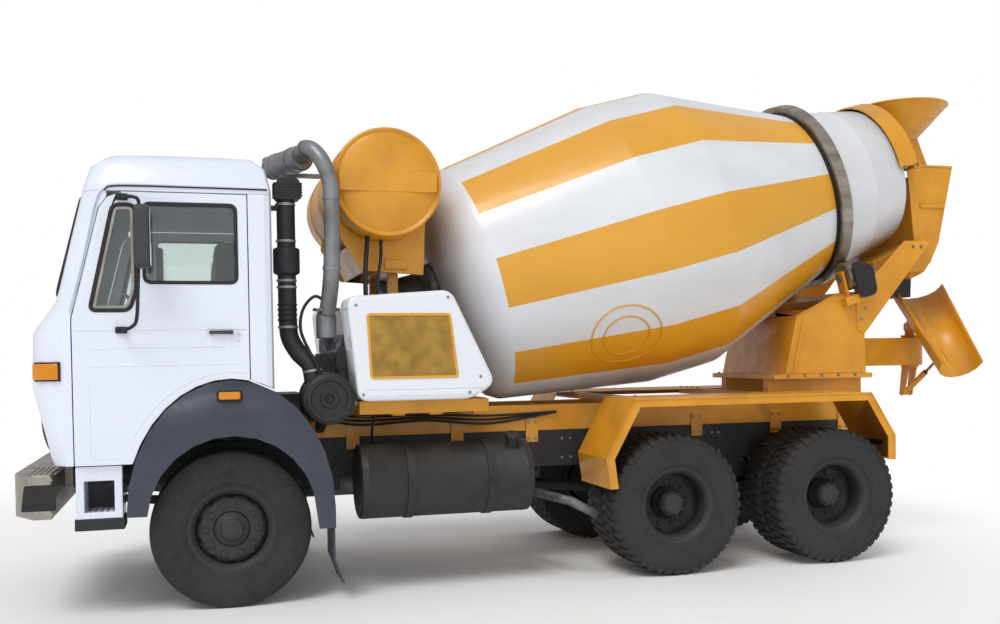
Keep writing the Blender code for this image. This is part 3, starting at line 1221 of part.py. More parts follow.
def charge_hopper():
    """Loading funnel above the mouth, its spout reaching into the drum."""
    sides = 20
    # centre x, centre z, radius along x, radius along y, lean of the ring about y
    rings = [(REAR_END - 0.400, 3.860, 0.400, 0.460, 0.0), (5.860, 3.520, 0.190, 0.230, 0.15),
             (5.560, 3.260, 0.150, 0.160, 0.9)]
    bm = bmesh.new()
    rows = []
    for x, z, radius_x, radius_y, lean in rings:
        row = []
        for i in range(sides):
            turn = 2 * math.pi * i / sides
            along = radius_x * math.cos(turn)
            row.append(bm.verts.new((x + along * math.cos(lean), radius_y * math.sin(turn),
                                     z - along * math.sin(lean))))
        rows.append(row)
    for upper, lower in zip(rows, rows[1:]):
        for i in range(sides):
            j = (i + 1) % sides
            bm.faces.new((upper[i], lower[i], lower[j], upper[j]))
    funnel = thicken(from_bmesh(bm, "charge_hopper", "yellow_paint"), 0.008)
    foot = 3.2622 + GAP
    stays = []
    for side in (-1, 1):
        near, far = sorted((side * 0.185, side * 0.200))
        stays.append(plate(f"funnel_stay_{side}", "yellow_paint",
                           [(5.900, 3.540), (6.020, 3.640), (6.180, foot), (6.080, foot)], near, far))
    return combine(funnel, stays)


# ---------------------------------------------------------------- chute
def swivel():
    """Post that turns in the arm's bearing, with the chute's hinge lugs and the ram's foot plates."""
    pivot = new_empty("swivel_axis", (SWIVEL_X, 0, ARM_BOTTOM), truck)
    hinge = (CHUTE_HINGE_Y, CHUTE_HINGE_Z - ARM_BOTTOM)
    foot = (RAM_FOOT_Y, RAM_FOOT_Z - ARM_BOTTOM)
    top = ARM_TOP - ARM_BOTTOM
    bm = bmesh.new()
    rod(bm, (0, 0, -0.018), (0, 0, hinge[1] - 0.010), SWIVEL_RADIUS)
    post = from_bmesh(bm, "chute_swivel", "yellow_paint", pivot)
    pieces = []
    for name, low, high in (("upper_collar", top + GAP, top + 0.025), ("lower_collar", -0.020, -GAP)):
        bm = bmesh.new()
        rod(bm, (0, 0, low), (0, 0, high), BEARING_RADIUS)
        pieces.append(from_bmesh(bm, name, "yellow_paint", pivot))
    pieces.append(plate("hinge_lug", "yellow_paint",
                        rounded([(0.03, hinge[1] - 0.075), (0.03, hinge[1] + 0.005),
                                 (hinge[0] - 0.028, hinge[1] + 0.028),
                                 (hinge[0] - 0.028,
                                  hinge[1] - 0.028)], 0.015, 1), -0.045, 0.045, "X", pivot))
    bm = bmesh.new()
    rod(bm, (-0.085, hinge[0], hinge[1]), (0.085, hinge[0], hinge[1]), 0.016, 12)
    pieces.append(from_bmesh(bm, "hinge_pin", "yellow_paint", pivot))
    for side in (-1, 1):
        near, far = sorted((side * 0.034, side * 0.050))
        pieces.append(plate(f"foot_plate_{side}", "yellow_paint",
                            [(-0.045, -0.010), (0.055, -0.010), (foot[0] + 0.035, foot[1] - 0.020),
                             (foot[0] + 0.010, foot[1] - 0.035), (foot[0] - 0.030,
                                                                  foot[1] - 0.025)], near, far, "X", pivot))
    bm = bmesh.new()
    rod(bm, (-0.048, foot[0], foot[1]), (0.048, foot[0], foot[1]), 0.014, 12)
    pieces.append(from_bmesh(bm, "foot_pin", "yellow_paint", pivot))
    return combine(post, pieces)


def chute():
    """Tapered trough. Its own x runs down the slope and its origin is on the hinge."""
    pivot = new_empty("chute_hinge", (SWIVEL_X, CHUTE_HINGE_Y, CHUTE_HINGE_Z), truck,
                      (0, CHUTE_SLOPE, -math.pi / 2))
    pivot.rotation_mode = "XYZ"
    lift = 0.060                # hinge axis to the trough's underside
    top_x, tip_x = -0.255, 0.690
    steps = 8
    bm = bmesh.new()
    rows = []
    for x, width in ((top_x, CHUTE_TOP_WIDTH), (tip_x, CHUTE_TIP_WIDTH)):
        section = arc(0, lift + CHUTE_DEPTH, width / 2, CHUTE_DEPTH, 180, 360, steps)
        section = [(section[0][0], lift + CHUTE_DEPTH + 0.03)] + section + [(section[-1][0],
                                                                             lift + CHUTE_DEPTH + 0.03)]
        rows.append([bm.verts.new((x, y, z)) for y, z in section])
    for i in range(len(rows[0]) - 1):
        bm.faces.new((rows[0][i], rows[1][i], rows[1][i + 1], rows[0][i + 1]))
    trough = thicken(from_bmesh(bm, "discharge_chute", "yellow_paint", pivot), CHUTE_SHEET)
    lugs = []
    bore = bore_radius(0.016, 12)
    for side in (-1, 1):
        near, far = sorted((side * 0.053, side * 0.075))
        lug = plate(f"chute_lug_{side}", "yellow_paint",
                    rounded([(-0.080, lift + 0.012), (-0.030, -0.028), (0.030, -0.028),
                             (0.080, lift + 0.012)], 0.010, 1),
                    near, far, "Y", pivot)
        lugs.append(lug)
    eye = ram_eye_on_chute()
    for side in (-1, 1):
        near, far = sorted((side * 0.030, side * 0.045))
        lugs.append(plate(f"ram_lug_{side}", "yellow_paint",
                          [(eye[0] - 0.060, lift + 0.012), (eye[0] - 0.022, eye[1] - 0.024),
                           (eye[0] + 0.022, eye[1] - 0.024),
                           (eye[0] + 0.060, lift + 0.012)], near, far, "Y", pivot))
    combine(trough, lugs)
    bm = bmesh.new()
    rod(bm, (0, -0.09, 0), (0, 0.09, 0), bore, 12)
    return combine(trough, [from_bmesh(bm, "hinge_bore", "yellow_paint", pivot)], "DIFFERENCE")


def ram_eye_on_chute():
    """The ram's upper eye in the chute's own (x down the slope, z square to it)."""
    across, up = RAM_EYE_Y - CHUTE_HINGE_Y, RAM_EYE_Z - CHUTE_HINGE_Z
    along = -across * math.cos(CHUTE_SLOPE) - up * math.sin(CHUTE_SLOPE)
    square = -across * math.sin(CHUTE_SLOPE) + up * math.cos(CHUTE_SLOPE)
    return along, square


def ram():
    """Hand ram that sets the chute's slope: barrel on the swivel's foot, rod towards the chute."""
    foot = Vector((SWIVEL_X, RAM_FOOT_Y, RAM_FOOT_Z))
    eye = Vector((SWIVEL_X, RAM_EYE_Y, RAM_EYE_Z))
    length = (eye - foot).length
    lean = math.atan2(eye.z - foot.z, foot.y - eye.y)
    barrel_end = length * 0.62
    buried = 0.205              # rod inside the barrel at rest
    travel_in = 0.099           # room for the rod to go further in
    pivot = new_empty("ram_foot", foot, truck, (0, -lean, -math.pi / 2))
    bm = bmesh.new()
    rod(bm, (0.020, 0, 0), (barrel_end, 0, 0), 0.026, 16)
    barrel = from_bmesh(bm, "chute_ram_barrel", "yellow_paint", pivot)
    bm = bmesh.new()
    rod(bm, (0, -0.030, 0), (0, 0.030, 0), 0.030, 16)
    eye_end = from_bmesh(bm, "barrel_eye", "yellow_paint", pivot)
    combine(barrel, [eye_end])
    bm = bmesh.new()
    rod(bm, (0, -0.050, 0), (0, 0.050, 0), bore_radius(0.014, 12), 12)
    holes = [from_bmesh(bm, "barrel_eye_bore", "yellow_paint", pivot)]
    bm = bmesh.new()
    rod(bm, (barrel_end - buried - travel_in, 0, 0), (barrel_end + 0.05, 0, 0), bore_radius(0.014, 16),
        16)
    holes.append(from_bmesh(bm, "barrel_bore", "yellow_paint", pivot))
    combine(barrel, holes, "DIFFERENCE")
    bm = bmesh.new()
    rod(bm, (barrel_end - buried, 0, 0), (length - 0.012, 0, 0), 0.014, 16)
    piston = from_bmesh(bm, "chute_ram_rod", "steel", pivot)
    bm = bmesh.new()
    rod(bm, (length, -0.020, 0), (length, 0.020, 0), 0.022, 16)
    combine(piston, [from_bmesh(bm, "rod_eye", "steel", pivot)])


# ---------------------------------------------------------------- build
clear_scene()
parts = new_collection("concrete_mixer_truck")
cutters = new_collection("cutters")
truck = bpy.data.objects.new("truck", None)
parts.objects.link(truck)
truck.location = (TRUCK_SHIFT, 0, 0)

chassis_frame()
mixer_subframe()
bumper()
front_axle()
drive_axles()
for side_name, side in (("left", -1), ("right", 1)):
    steering_knuckle(f"steering_knuckle_{side_name}", side)
    cab_step(side_name, side)
    front_mudguard(side_name, side)
    engine_cover(side_name, side)
    front_wheel(side_name, side)
    for axle_name, axle_x in zip(("middle", "rear"), DRIVE_AXLES):
        twin_wheels(axle_name, side_name, side, axle_x)
cab()
cab_interior()
fuel_tank()
engine_and_exhaust()
air_intake()
drum_engine()
water_tank()
drum_pedestal_front()
drum_gearbox()
drum()
rollers()
rear_pedestal()
rear_mudguards()
discharge_hopper()
charge_hopper()
swivel()
chute()
ram()
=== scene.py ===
"""Looks of a concrete mixer truck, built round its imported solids.

Lengths are metres. Pieces are drawn with x back from the front axle, y to the truck's right from its
middle and z up from the ground, and are then shifted into the frame's own place.
"""
import json
import math

import bmesh
import bpy
from bpy.props import FloatProperty, FloatVectorProperty, IntProperty, PointerProperty
from mathutils import Matrix, Vector

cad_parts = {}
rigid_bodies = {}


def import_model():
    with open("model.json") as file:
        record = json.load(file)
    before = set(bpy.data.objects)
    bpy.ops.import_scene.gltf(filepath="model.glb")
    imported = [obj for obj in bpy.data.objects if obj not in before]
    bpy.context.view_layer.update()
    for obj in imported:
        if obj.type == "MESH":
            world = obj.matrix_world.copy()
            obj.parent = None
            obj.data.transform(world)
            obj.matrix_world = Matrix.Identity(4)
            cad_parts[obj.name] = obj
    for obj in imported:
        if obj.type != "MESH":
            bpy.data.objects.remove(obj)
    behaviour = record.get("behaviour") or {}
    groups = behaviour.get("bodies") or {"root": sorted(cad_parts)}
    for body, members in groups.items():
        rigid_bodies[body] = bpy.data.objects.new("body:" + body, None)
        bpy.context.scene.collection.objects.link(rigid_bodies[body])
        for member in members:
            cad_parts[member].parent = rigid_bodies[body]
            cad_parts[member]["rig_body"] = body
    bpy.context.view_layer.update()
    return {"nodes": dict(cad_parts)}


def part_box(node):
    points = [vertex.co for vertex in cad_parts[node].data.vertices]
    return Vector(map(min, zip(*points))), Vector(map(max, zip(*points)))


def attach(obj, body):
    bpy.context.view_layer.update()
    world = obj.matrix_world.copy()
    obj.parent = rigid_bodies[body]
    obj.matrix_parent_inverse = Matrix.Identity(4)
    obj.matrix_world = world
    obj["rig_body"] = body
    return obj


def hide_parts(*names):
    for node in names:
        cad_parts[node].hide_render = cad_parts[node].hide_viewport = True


bl_info = {
    "name": "Concrete Mixer Truck Finish",
    "version": (1, 0, 0),
    "blender": (4, 5, 0),
    "location": "3D View > Sidebar > Mixer Truck",
    "description": "Paint, rubber, glass and fittings for a concrete mixer truck",
    "category": "Object",
}

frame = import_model()
TYRE_LOW, TYRE_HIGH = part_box("front_tyre_left")
SHIFT = Vector(((TYRE_LOW.x + TYRE_HIGH.x) / 2, 0, 0))
SIDES = (("left", -1), ("right", 1))
CAD_BOX_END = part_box("charge_hopper")[1].x - SHIFT.x


def linear(hex_code):
    """An sRGB hex colour as linear red, green and blue."""
    values = [int(hex_code[i:i + 2], 16) / 255 for i in (1, 3, 5)]
    return tuple(v / 12.92 if v <= 0.04045 else ((v + 0.055) / 1.055) ** 2.4 for v in values)


def cad(node):
    """Lowest and highest corner of a solid, with x back from the front axle."""
    low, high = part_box(node)
    return low - SHIFT, high - SHIFT


# ---------------------------------------------------------------- settings
def colour_property(name, hex_code, description):
    return FloatVectorProperty(name=name, description=description, subtype="COLOR", size=3, min=0, max=1,
                               default=linear(hex_code))


class MixerColours(bpy.types.PropertyGroup):
    cab: colour_property("Cab enamel", "#E2E6F3", "Cool white of the cab's panels")
    drum: colour_property("Drum enamel", "#DCDEE2", "Greyer white of the drum")
    mixer: colour_property("Mixer enamel", "#DB9716", "Golden yellow of the mixer's steelwork")
    stripe: colour_property("Drum stripe", "#DD9E22", "Golden yellow of the drum's stripes")
    cover: colour_property("Engine cover", "#E3E6EC", "Gelcoat of the drum engine's covers")
    chassis: colour_property("Chassis black", "#1D1D20", "Frame, axles, tanks and pipes")
    mudguard: colour_property("Mudguard", "#3B3F4C", "Moulded front mudguards")
    rubber: colour_property("Tyre rubber", "#242426", "Tyres, hoses and flaps")
    rim: colour_property("Rim paint", "#29292B", "Wheel discs and hubs")
    dust: colour_property("Road dust", "#8E8170", "Dry dust and cement that settles on everything")
    amber: colour_property("Amber lens", "#E08A10", "Side and corner lamps")


class MixerSizes(bpy.types.PropertyGroup):
    stripes: IntProperty(name="Stripes", description="Yellow stripes round the drum", default=8, min=2, max=16)
    stripe_turn: FloatProperty(name="Stripe turn", description="Where the first stripe starts, from the top",
                               default=math.radians(31), subtype="ANGLE", unit="ROTATION")
    edge: FloatProperty(name="Edge radius", description="Folded sheet edges", default=0.004, unit="LENGTH",
                        subtype="DISTANCE")
    lugs: IntProperty(name="Tread lugs", description="Lugs round one side of a drive tyre", default=44, min=12)
    nuts: IntProperty(name="Wheel nuts", description="Nuts on each wheel", default=10, min=5)


class MixerStage(bpy.types.PropertyGroup):
    eye: FloatVectorProperty(name="Eye", description="Camera place, x back from the front axle", size=3,
                             default=(-0.199, -8.646, 1.667), unit="LENGTH", subtype="TRANSLATION")
    yaw: FloatProperty(name="Yaw", description="Camera turn to the rear", default=0.29833, subtype="ANGLE")
    pitch: FloatProperty(name="Pitch", description="Camera tilt upwards", default=-0.02099, subtype="ANGLE")
    roll: FloatProperty(name="Roll", description="Camera roll", default=-0.01483, subtype="ANGLE")
    lens: FloatProperty(name="Lens", description="Focal length in millimetres", default=39.35)
    shift: FloatVectorProperty(name="Shift", description="Lens shift as a share of the width", size=2,
                               default=(-0.0340, 0.0655))
    sky: FloatProperty(name="Sky", description="Strength of the even light", default=0.62)
    key: FloatProperty(name="Key", description="Strength of the soft key light", default=1.5)
    fill: FloatProperty(name="Fill", description="Strength of the side light", default=0.5)


# ---------------------------------------------------------------- node helper and surface layers
def add(tree, kind, inputs=None, **settings):
    """Adds a node. Inputs maps a socket's name or number to a value, or to the output that feeds it."""
    node = tree.nodes.new(kind)
    for name, value in settings.items():
        setattr(node, name, value)
    for name, value in (inputs or {}).items():
        if isinstance(value, bpy.types.NodeSocket):
            tree.links.new(value, node.inputs[name])
        else:
            node.inputs[name].default_value = value
    return node


def mixed(tree, share, first, second):
    """Colour between two others by a share."""
    pair = [c if isinstance(c, bpy.types.NodeSocket) else (*c, 1) for c in (first, second)]
    return add(tree, "ShaderNodeMix", {0: share, 6: pair[0], 7: pair[1]}, data_type="RGBA").outputs[2]


def blotches(tree, size_mm, low=0.35, high=0.65, detail=5.0, stretch=(1, 1, 1), seed=0.0):
    """Cloudy pattern from 0 to 1, with blotches of a real size."""
    place = add(tree, "ShaderNodeTexCoord").outputs["Object"]
    place = add(tree, "ShaderNodeMapping", {0: place, 1: (seed, seed, seed), 3: stretch}).outputs[0]
    noise = add(tree, "ShaderNodeTexNoise", {"Vector": place, "Scale": 1000 / size_mm, "Detail": detail})
    return add(tree, "ShaderNodeMapRange", {0: noise.outputs[0], 1: low, 2: high}).outputs[0]


def product(tree, first, second):
    return add(tree, "ShaderNodeMath", {0: first, 1: second}, operation="MULTIPLY").outputs[0]


def settled(tree, share, low_z=0.0, high_z=1.6):
    """Where dust lies: on what faces up, and on what is near the road."""
    normal = add(tree, "ShaderNodeNewGeometry").outputs["Normal"]
    facing = add(tree, "ShaderNodeSeparateXYZ", {0: normal}).outputs[2]
    top = add(tree, "ShaderNodeMapRange", {0: facing, 1: 0.45, 2: 1.0, 4: 0.8}).outputs[0]
    place = add(tree, "ShaderNodeTexCoord").outputs["Object"]
    height = add(tree, "ShaderNodeSeparateXYZ", {0: place}).outputs[2]
    low = add(tree, "ShaderNodeMapRange", {0: height, 1: high_z, 2: low_z, 4: 0.7}).outputs[0]
    both = add(tree, "ShaderNodeMath", {0: top, 1: low}, operation="MAXIMUM").outputs[0]
    return product(tree, product(tree, both, blotches(tree, 240, 0.30, 0.72)), share)


def surface(name, colour, roughness, metallic=0.0, shade=None, shade_mm=400, shade_share=0.5, dust=None,
            dust_share=0.0, dust_top=1.6, grain_mm=0.0, grain_depth=0.0, coat=0.0, stretch=(1, 1, 1),
            rough_spread=0.08):
    """One finish: a colour that varies over a real size, settled dust, fine grain and uneven gloss."""
    made = bpy.data.materials.new(name)
    made.use_nodes = True
    tree = made.node_tree
    shader = tree.nodes["Principled BSDF"]
    shader.inputs["Metallic"].default_value = metallic
    shader.inputs["Coat Weight"].default_value = coat
    shader.inputs["Coat Roughness"].default_value = 0.12
    shade = shade or tuple(c * 0.78 for c in colour)
    clouds = product(tree, blotches(tree, shade_mm, stretch=stretch), shade_share)
    found = mixed(tree, clouds, colour, shade)
    rough = add(tree, "ShaderNodeMapRange", {0: blotches(tree, shade_mm / 3, seed=3.0), 3: roughness - rough_spread,
                                             4: roughness + rough_spread}).outputs[0]
    if dust and dust_share:
        lies = settled(tree, dust_share, high_z=dust_top)
        found = mixed(tree, lies, found, dust)
        rough = add(tree, "ShaderNodeMix", {0: lies, 2: rough, 3: 0.9}).outputs[0]
    tree.links.new(found, shader.inputs["Base Color"])
    tree.links.new(rough, shader.inputs["Roughness"])
    if grain_mm:
        height = blotches(tree, grain_mm, 0.2, 0.8, detail=3.0)
        bump = add(tree, "ShaderNodeBump", {"Height": height, "Strength": 1.0, "Distance": grain_depth / 1000})
        tree.links.new(bump.outputs[0], shader.inputs["Normal"])
    return made


FINISHES = {}


def make_finishes(colours):
    """Every finish of the truck, named for the real material and how its surface was made."""
    dust = tuple(colours.dust)
    # Sprayed two-pack enamel on pressed steel: even gloss, a faint wave and dust along the sills.
    FINISHES["cab"] = surface("enamel_sprayed_cab", tuple(colours.cab), 0.30, shade_mm=900, shade_share=0.15,
                              dust=dust, dust_share=0.16, dust_top=1.3, grain_mm=40, grain_depth=0.12, coat=0.5)
    # The same enamel on rolled plate: greyer, hazed by dried cement in long smears.
    FINISHES["drum"] = surface("enamel_sprayed_drum", tuple(colours.drum), 0.36, shade=linear("#B9B8B2"),
                               shade_mm=520, shade_share=0.35, dust=linear("#B7B1A5"), dust_share=0.35,
                               dust_top=0.2, grain_mm=30, grain_depth=0.4, coat=0.3, stretch=(0.4, 1, 1))
    FINISHES["stripe"] = surface("enamel_sprayed_stripe", tuple(colours.stripe), 0.36, shade=linear("#CF8E18"),
                                 shade_mm=480, shade_share=0.45, dust=linear("#D2A34A"), dust_share=0.5,
                                 dust_top=0.2, grain_mm=30, grain_depth=0.4, coat=0.3, stretch=(0.4, 1, 1))
    # Brushed enamel over welded plate: deeper yellow, uneven gloss and cement dust on flat tops.
    FINISHES["mixer"] = surface("enamel_brushed_steelwork", tuple(colours.mixer), 0.42,
                                shade=linear("#BE7C0C"), shade_mm=260, shade_share=0.6, dust=linear("#B79A62"),
                                dust_share=0.5, dust_top=1.2, grain_mm=9, grain_depth=0.25, coat=0.15)
    # Glass-fibre moulding with a white gelcoat: soft gloss and a slow ripple.
    FINISHES["cover"] = surface("gelcoat_moulded_cover", tuple(colours.cover), 0.28, shade_mm=600,
                                shade_share=0.10, dust=dust, dust_share=0.10, dust_top=1.2, grain_mm=140,
                                grain_depth=0.3, coat=0.6)
    # Bitumen-based chassis paint: near black, dull where road dust sits.
    FINISHES["chassis"] = surface("chassis_paint_brushed", tuple(colours.chassis), 0.55, shade_mm=180,
                                  dust=linear("#5A5248"), dust_share=0.55, dust_top=1.3, grain_mm=6,
                                  grain_depth=0.3)
    # Moulded polypropylene: blue-grey, satin, lightly grained, with pale scuffs.
    FINISHES["mudguard"] = surface("polypropylene_moulded", tuple(colours.mudguard), 0.50,
                                   shade=linear("#2B2E38"), shade_mm=300, shade_share=0.6,
                                   dust=linear("#6A675F"), dust_share=0.4, dust_top=1.1, grain_mm=4,
                                   grain_depth=0.15)
    # Vulcanised tyre rubber: charcoal, matt, browner where the road has dusted it.
    FINISHES["rubber"] = surface("rubber_vulcanised_tyre", tuple(colours.rubber), 0.78, shade=linear("#1C1C1D"),
                                 shade_mm=120, shade_share=0.6, dust=linear("#5B5349"), dust_share=0.4,
                                 dust_top=1.6, grain_mm=5, grain_depth=0.25)
    # Extruded EPDM: black seals and hoses with a low sheen.
    FINISHES["seal"] = surface("rubber_extruded_seal", linear("#17171A"), 0.55, shade_mm=90, grain_mm=5,
                               grain_depth=0.1)
    # Painted pressed wheel steel under brake dust.
    FINISHES["rim"] = surface("wheel_steel_painted", tuple(colours.rim), 0.6, shade=linear("#1E1D1D"),
                              shade_mm=60, shade_share=0.7, dust=linear("#544C42"), dust_share=0.5,
                              dust_top=1.5, grain_mm=8, grain_depth=0.3)
    # Hot-dip galvanised pressing: pale spangled zinc, dulled and tanned by dust.
    FINISHES["zinc"] = surface("steel_galvanised", linear("#A7A29A"), 0.42, metallic=0.75,
                               shade=linear("#7B7469"), shade_mm=150, shade_share=0.5, dust=linear("#8B7C64"),
                               dust_share=0.3, dust_top=1.3, grain_mm=12, grain_depth=0.2)
    # Rolled steel track ring, polished by its rollers and edged with old grease.
    FINISHES["track"] = surface("steel_rolled_track", linear("#A39C90"), 0.40, metallic=0.8,
                                shade=linear("#6B6257"), shade_mm=120, shade_share=0.7,
                                stretch=(0.3, 1, 1))
    # Chromed rod and trim.
    FINISHES["chrome"] = surface("steel_chromed", linear("#C9CACC"), 0.12, metallic=1.0, shade_mm=200,
                                 shade_share=0.2, rough_spread=0.04)
    # Grey cast iron, sand cast, with an oily film.
    FINISHES["iron"] = surface("iron_sand_cast", linear("#74767A"), 0.5, metallic=0.3, shade=linear("#3E3F41"),
                               shade_mm=90, shade_share=0.8, dust=dust, dust_share=0.3, grain_mm=7,
                               grain_depth=0.4)
    # Aluminised exhaust tube, greyed and tanned by heat.
    FINISHES["exhaust"] = surface("steel_aluminised_exhaust", linear("#8C8F93"), 0.46, metallic=0.55,
                                  shade=linear("#6A6258"), shade_mm=160, shade_share=0.7, grain_mm=8,
                                  grain_depth=0.15)
    # Vinyl seat cloth.
    FINISHES["seat"] = surface("vinyl_embossed_seat", linear("#3A3533"), 0.6, shade_mm=150, grain_mm=6,
                               grain_depth=0.5)
    # Dark ABS mouldings: dashboard, mirror heads and handles.
    FINISHES["plastic"] = surface("abs_moulded_dark", linear("#37383D"), 0.5, shade_mm=200, grain_mm=4,
                                  grain_depth=0.12)
    # Painted steel inside the cab, khaki grey.
    FINISHES["inner"] = surface("enamel_inside_cab", linear("#7E7C72"), 0.6, shade_mm=400, shade_share=0.4)
    # Zinc-plated fasteners.
    FINISHES["bolt"] = surface("steel_zinc_plated", linear("#8E8C88"), 0.45, metallic=0.8, shade_mm=30,
                               shade_share=0.6)
    FINISHES["glass"] = clear("glass_toughened", linear("#DCE6E4"), 0.02)
    FINISHES["amber"] = clear("acrylic_moulded_amber", tuple(colours.amber), 0.15, share=0.35, glow=0.25)
    FINISHES["lens"] = clear("glass_pressed_lens", linear("#F2F4F4"), 0.08)
    FINISHES["red"] = clear("acrylic_moulded_red", linear("#B01410"), 0.15, share=0.3, glow=0.1)
    FINISHES["mesh"] = punched_sheet("steel_punched_sheet", linear("#B9913A"))


def clear(name, colour, roughness, share=1.0, glow=0.0):
    """Float glass or moulded acrylic: clear and glossy, with a thin film of dust."""
    made = bpy.data.materials.new(name)
    made.use_nodes = True
    shader = made.node_tree.nodes["Principled BSDF"]
    shader.inputs["Base Color"].default_value = (*colour, 1)
    shader.inputs["IOR"].default_value = 1.5
    shader.inputs["Transmission Weight"].default_value = share
    shader.inputs["Emission Color"].default_value = (*colour, 1)
    shader.inputs["Emission Strength"].default_value = glow
    rough = add(made.node_tree, "ShaderNodeMapRange", {0: blotches(made.node_tree, 300), 3: roughness,
                                                       4: roughness + 0.03}).outputs[0]
    made.node_tree.links.new(rough, shader.inputs["Roughness"])
    return made


def punched_sheet(name, colour):
    """Steel sheet with rows of 6 mm holes at 10 mm, drawn at 14 mm so that they show, each hole painted dark brown as
    painted shade of the inside behind it.
    """
    made = surface(name, colour, 0.45, metallic=0.2, shade=linear("#8A6420"), shade_mm=90, shade_share=0.8)
    tree = made.node_tree
    shader = tree.nodes["Principled BSDF"]
    place = add(tree, "ShaderNodeTexCoord").outputs["Object"]
    place = add(tree, "ShaderNodeMapping", {0: place, 2: (0, math.radians(45), 0)}).outputs[0]
    cells = add(tree, "ShaderNodeTexVoronoi", {"Vector": place, "Scale": 1000 / 14, "Randomness": 0.0})
    hole_with_painted_shade = add(tree, "ShaderNodeMapRange", {0: cells.outputs["Distance"], 1: 0.30, 2: 0.36}).outputs[0]
    base = shader.inputs["Base Color"].links[0].from_socket
    # Painted shade: the holes take a dark brown for the shaded inside seen through them.
    tree.links.new(mixed(tree, hole_with_painted_shade, linear("#5A4212"), base), shader.inputs["Base Color"])
    bump = add(tree, "ShaderNodeBump", {"Height": hole_with_painted_shade, "Distance": 0.002})
    tree.links.new(bump.outputs[0], shader.inputs["Normal"])
    return made


# ---------------------------------------------------------------- shapes, drawn into a bmesh
def box(bm, low, high, turn=None):
    """A block between two corners. Turn is a matrix about its middle."""
    middle = (Vector(low) + Vector(high)) / 2
    size = Vector(high) - Vector(low)
    matrix = Matrix.Translation(middle) @ (turn or Matrix()) @ Matrix.Diagonal((*size, 1))
    return bmesh.ops.create_cube(bm, size=1.0, matrix=matrix)["verts"]


def rod(bm, start, end, radius, sides=24, end_radius=None):
    start, end = Vector(start), Vector(end)
    along = end - start
    matrix = Matrix.Translation((start + end) / 2) @ along.to_track_quat("Z", "Y").to_matrix().to_4x4()
    bmesh.ops.create_cone(bm, cap_ends=True, segments=sides, radius1=radius,
                          radius2=radius if end_radius is None else end_radius, depth=along.length, matrix=matrix)


def slab(bm, outline, low, high, axis="Y"):
    """A flat outline given thickness. The outline is (x, z) across Y, (y, z) across X or (x, y) across Z."""
    def point(pair, depth):
        return {"Y": (pair[0], depth, pair[1]), "X": (depth, pair[0], pair[1]), "Z": (pair[0], pair[1], depth)}[axis]
    rows = [[bm.verts.new(point(pair, depth)) for pair in outline] for depth in (low, high)]
    bm.faces.new(rows[0])
    bm.faces.new(rows[1][::-1])
    for i in range(len(outline)):
        j = (i + 1) % len(outline)
        bm.faces.new((rows[0][i], rows[1][i], rows[1][j], rows[0][j]))


def rounded(outline, radius, steps=4):
    """The outline with round corners."""
    made = []
    for i, corner in enumerate(outline):
        here = Vector(corner)
        before, after = Vector(outline[i - 1]), Vector(outline[(i + 1) % len(outline)])
        reach = min(radius, (before - here).length / 2.1, (after - here).length / 2.1)
        start = here + (before - here).normalized() * reach
        end = here + (after - here).normalized() * reach
        for k in range(steps + 1):
            t = k / steps
            made.append(tuple(start.lerp(here, t).lerp(here.lerp(end, t), t)))
    return made


def turned(bm, profile, matrix, sides=64, closed=False, sweep=2 * math.pi, finish_of=None):
    """A profile of (radius, distance along the axis) turned about a matrix's z axis."""
    whole = sweep > 2 * math.pi - 0.001
    rows = []
    for k in range(sides if whole else sides + 1):
        turn = sweep * k / sides
        rows.append([bm.verts.new(matrix @ Vector((r * math.cos(turn), r * math.sin(turn), s))) for r, s in profile])
    for k in range(sides):
        here, there = rows[k], rows[(k + 1) % len(rows)]
        for i in range(len(profile) if closed else len(profile) - 1):
            j = (i + 1) % len(profile)
            face = bm.faces.new((here[i], there[i], there[j], here[j]))
            if finish_of:
                face.material_index = finish_of(i, (k + 0.5) / sides)


def tube(bm, points, radius, sides=12, smooth=0, closed=False):
    """A round tube along a route. Smooth is how many points a curve puts between two of the route's."""
    route = [Vector(p) for p in points]
    if smooth:
        route = flowing(route, smooth)
    normal = None
    rings = []
    count = len(route)
    for i, here in enumerate(route):
        before = route[i - 1] if i or closed else here
        after = route[(i + 1) % count] if i < count - 1 or closed else here
        along = (after - before).normalized()
        if normal is None:
            normal = along.orthogonal().normalized()
        normal = (normal - along * normal.dot(along)).normalized()
        across = along.cross(normal)
        rings.append([bm.verts.new(here + (normal * math.cos(2 * math.pi * k / sides)
                                           + across * math.sin(2 * math.pi * k / sides)) * radius)
                      for k in range(sides)])
    pairs = list(zip(rings, rings[1:])) + ([(rings[-1], rings[0])] if closed else [])
    for here, there in pairs:
        for k in range(sides):
            j = (k + 1) % sides
            bm.faces.new((here[k], here[j], there[j], there[k]))
    if not closed:
        bm.faces.new(rings[0][::-1])
        bm.faces.new(rings[-1])


def flowing(route, steps):
    """A smooth curve through every point of a route."""
    made = []
    for i in range(len(route) - 1):
        p0 = route[max(i - 1, 0)]
        p1, p2 = route[i], route[i + 1]
        p3 = route[min(i + 2, len(route) - 1)]
        for k in range(steps):
            t = k / steps
            made.append(0.5 * ((2 * p1) + (p2 - p0) * t + (2 * p0 - 5 * p1 + 4 * p2 - p3) * t * t
                               + (3 * p1 - p0 - 3 * p2 + p3) * t ** 3))
    return made + [route[-1]]


def facing(place, along):
    """A matrix at a place whose z axis points along a direction."""
    return Matrix.Translation(Vector(place)) @ Vector(along).to_track_quat("Z", "Y").to_matrix().to_4x4()


def bolts(bm, places, along, size=0.012):
    """Hexagon heads on washers, standing on a surface."""
    along = Vector(along).normalized()
    for place in places:
        place = Vector(place)
        rod(bm, place, place + along * size * 0.2, size * 1.25, 12)
        rod(bm, place, place + along * size * 0.9, size, 6)


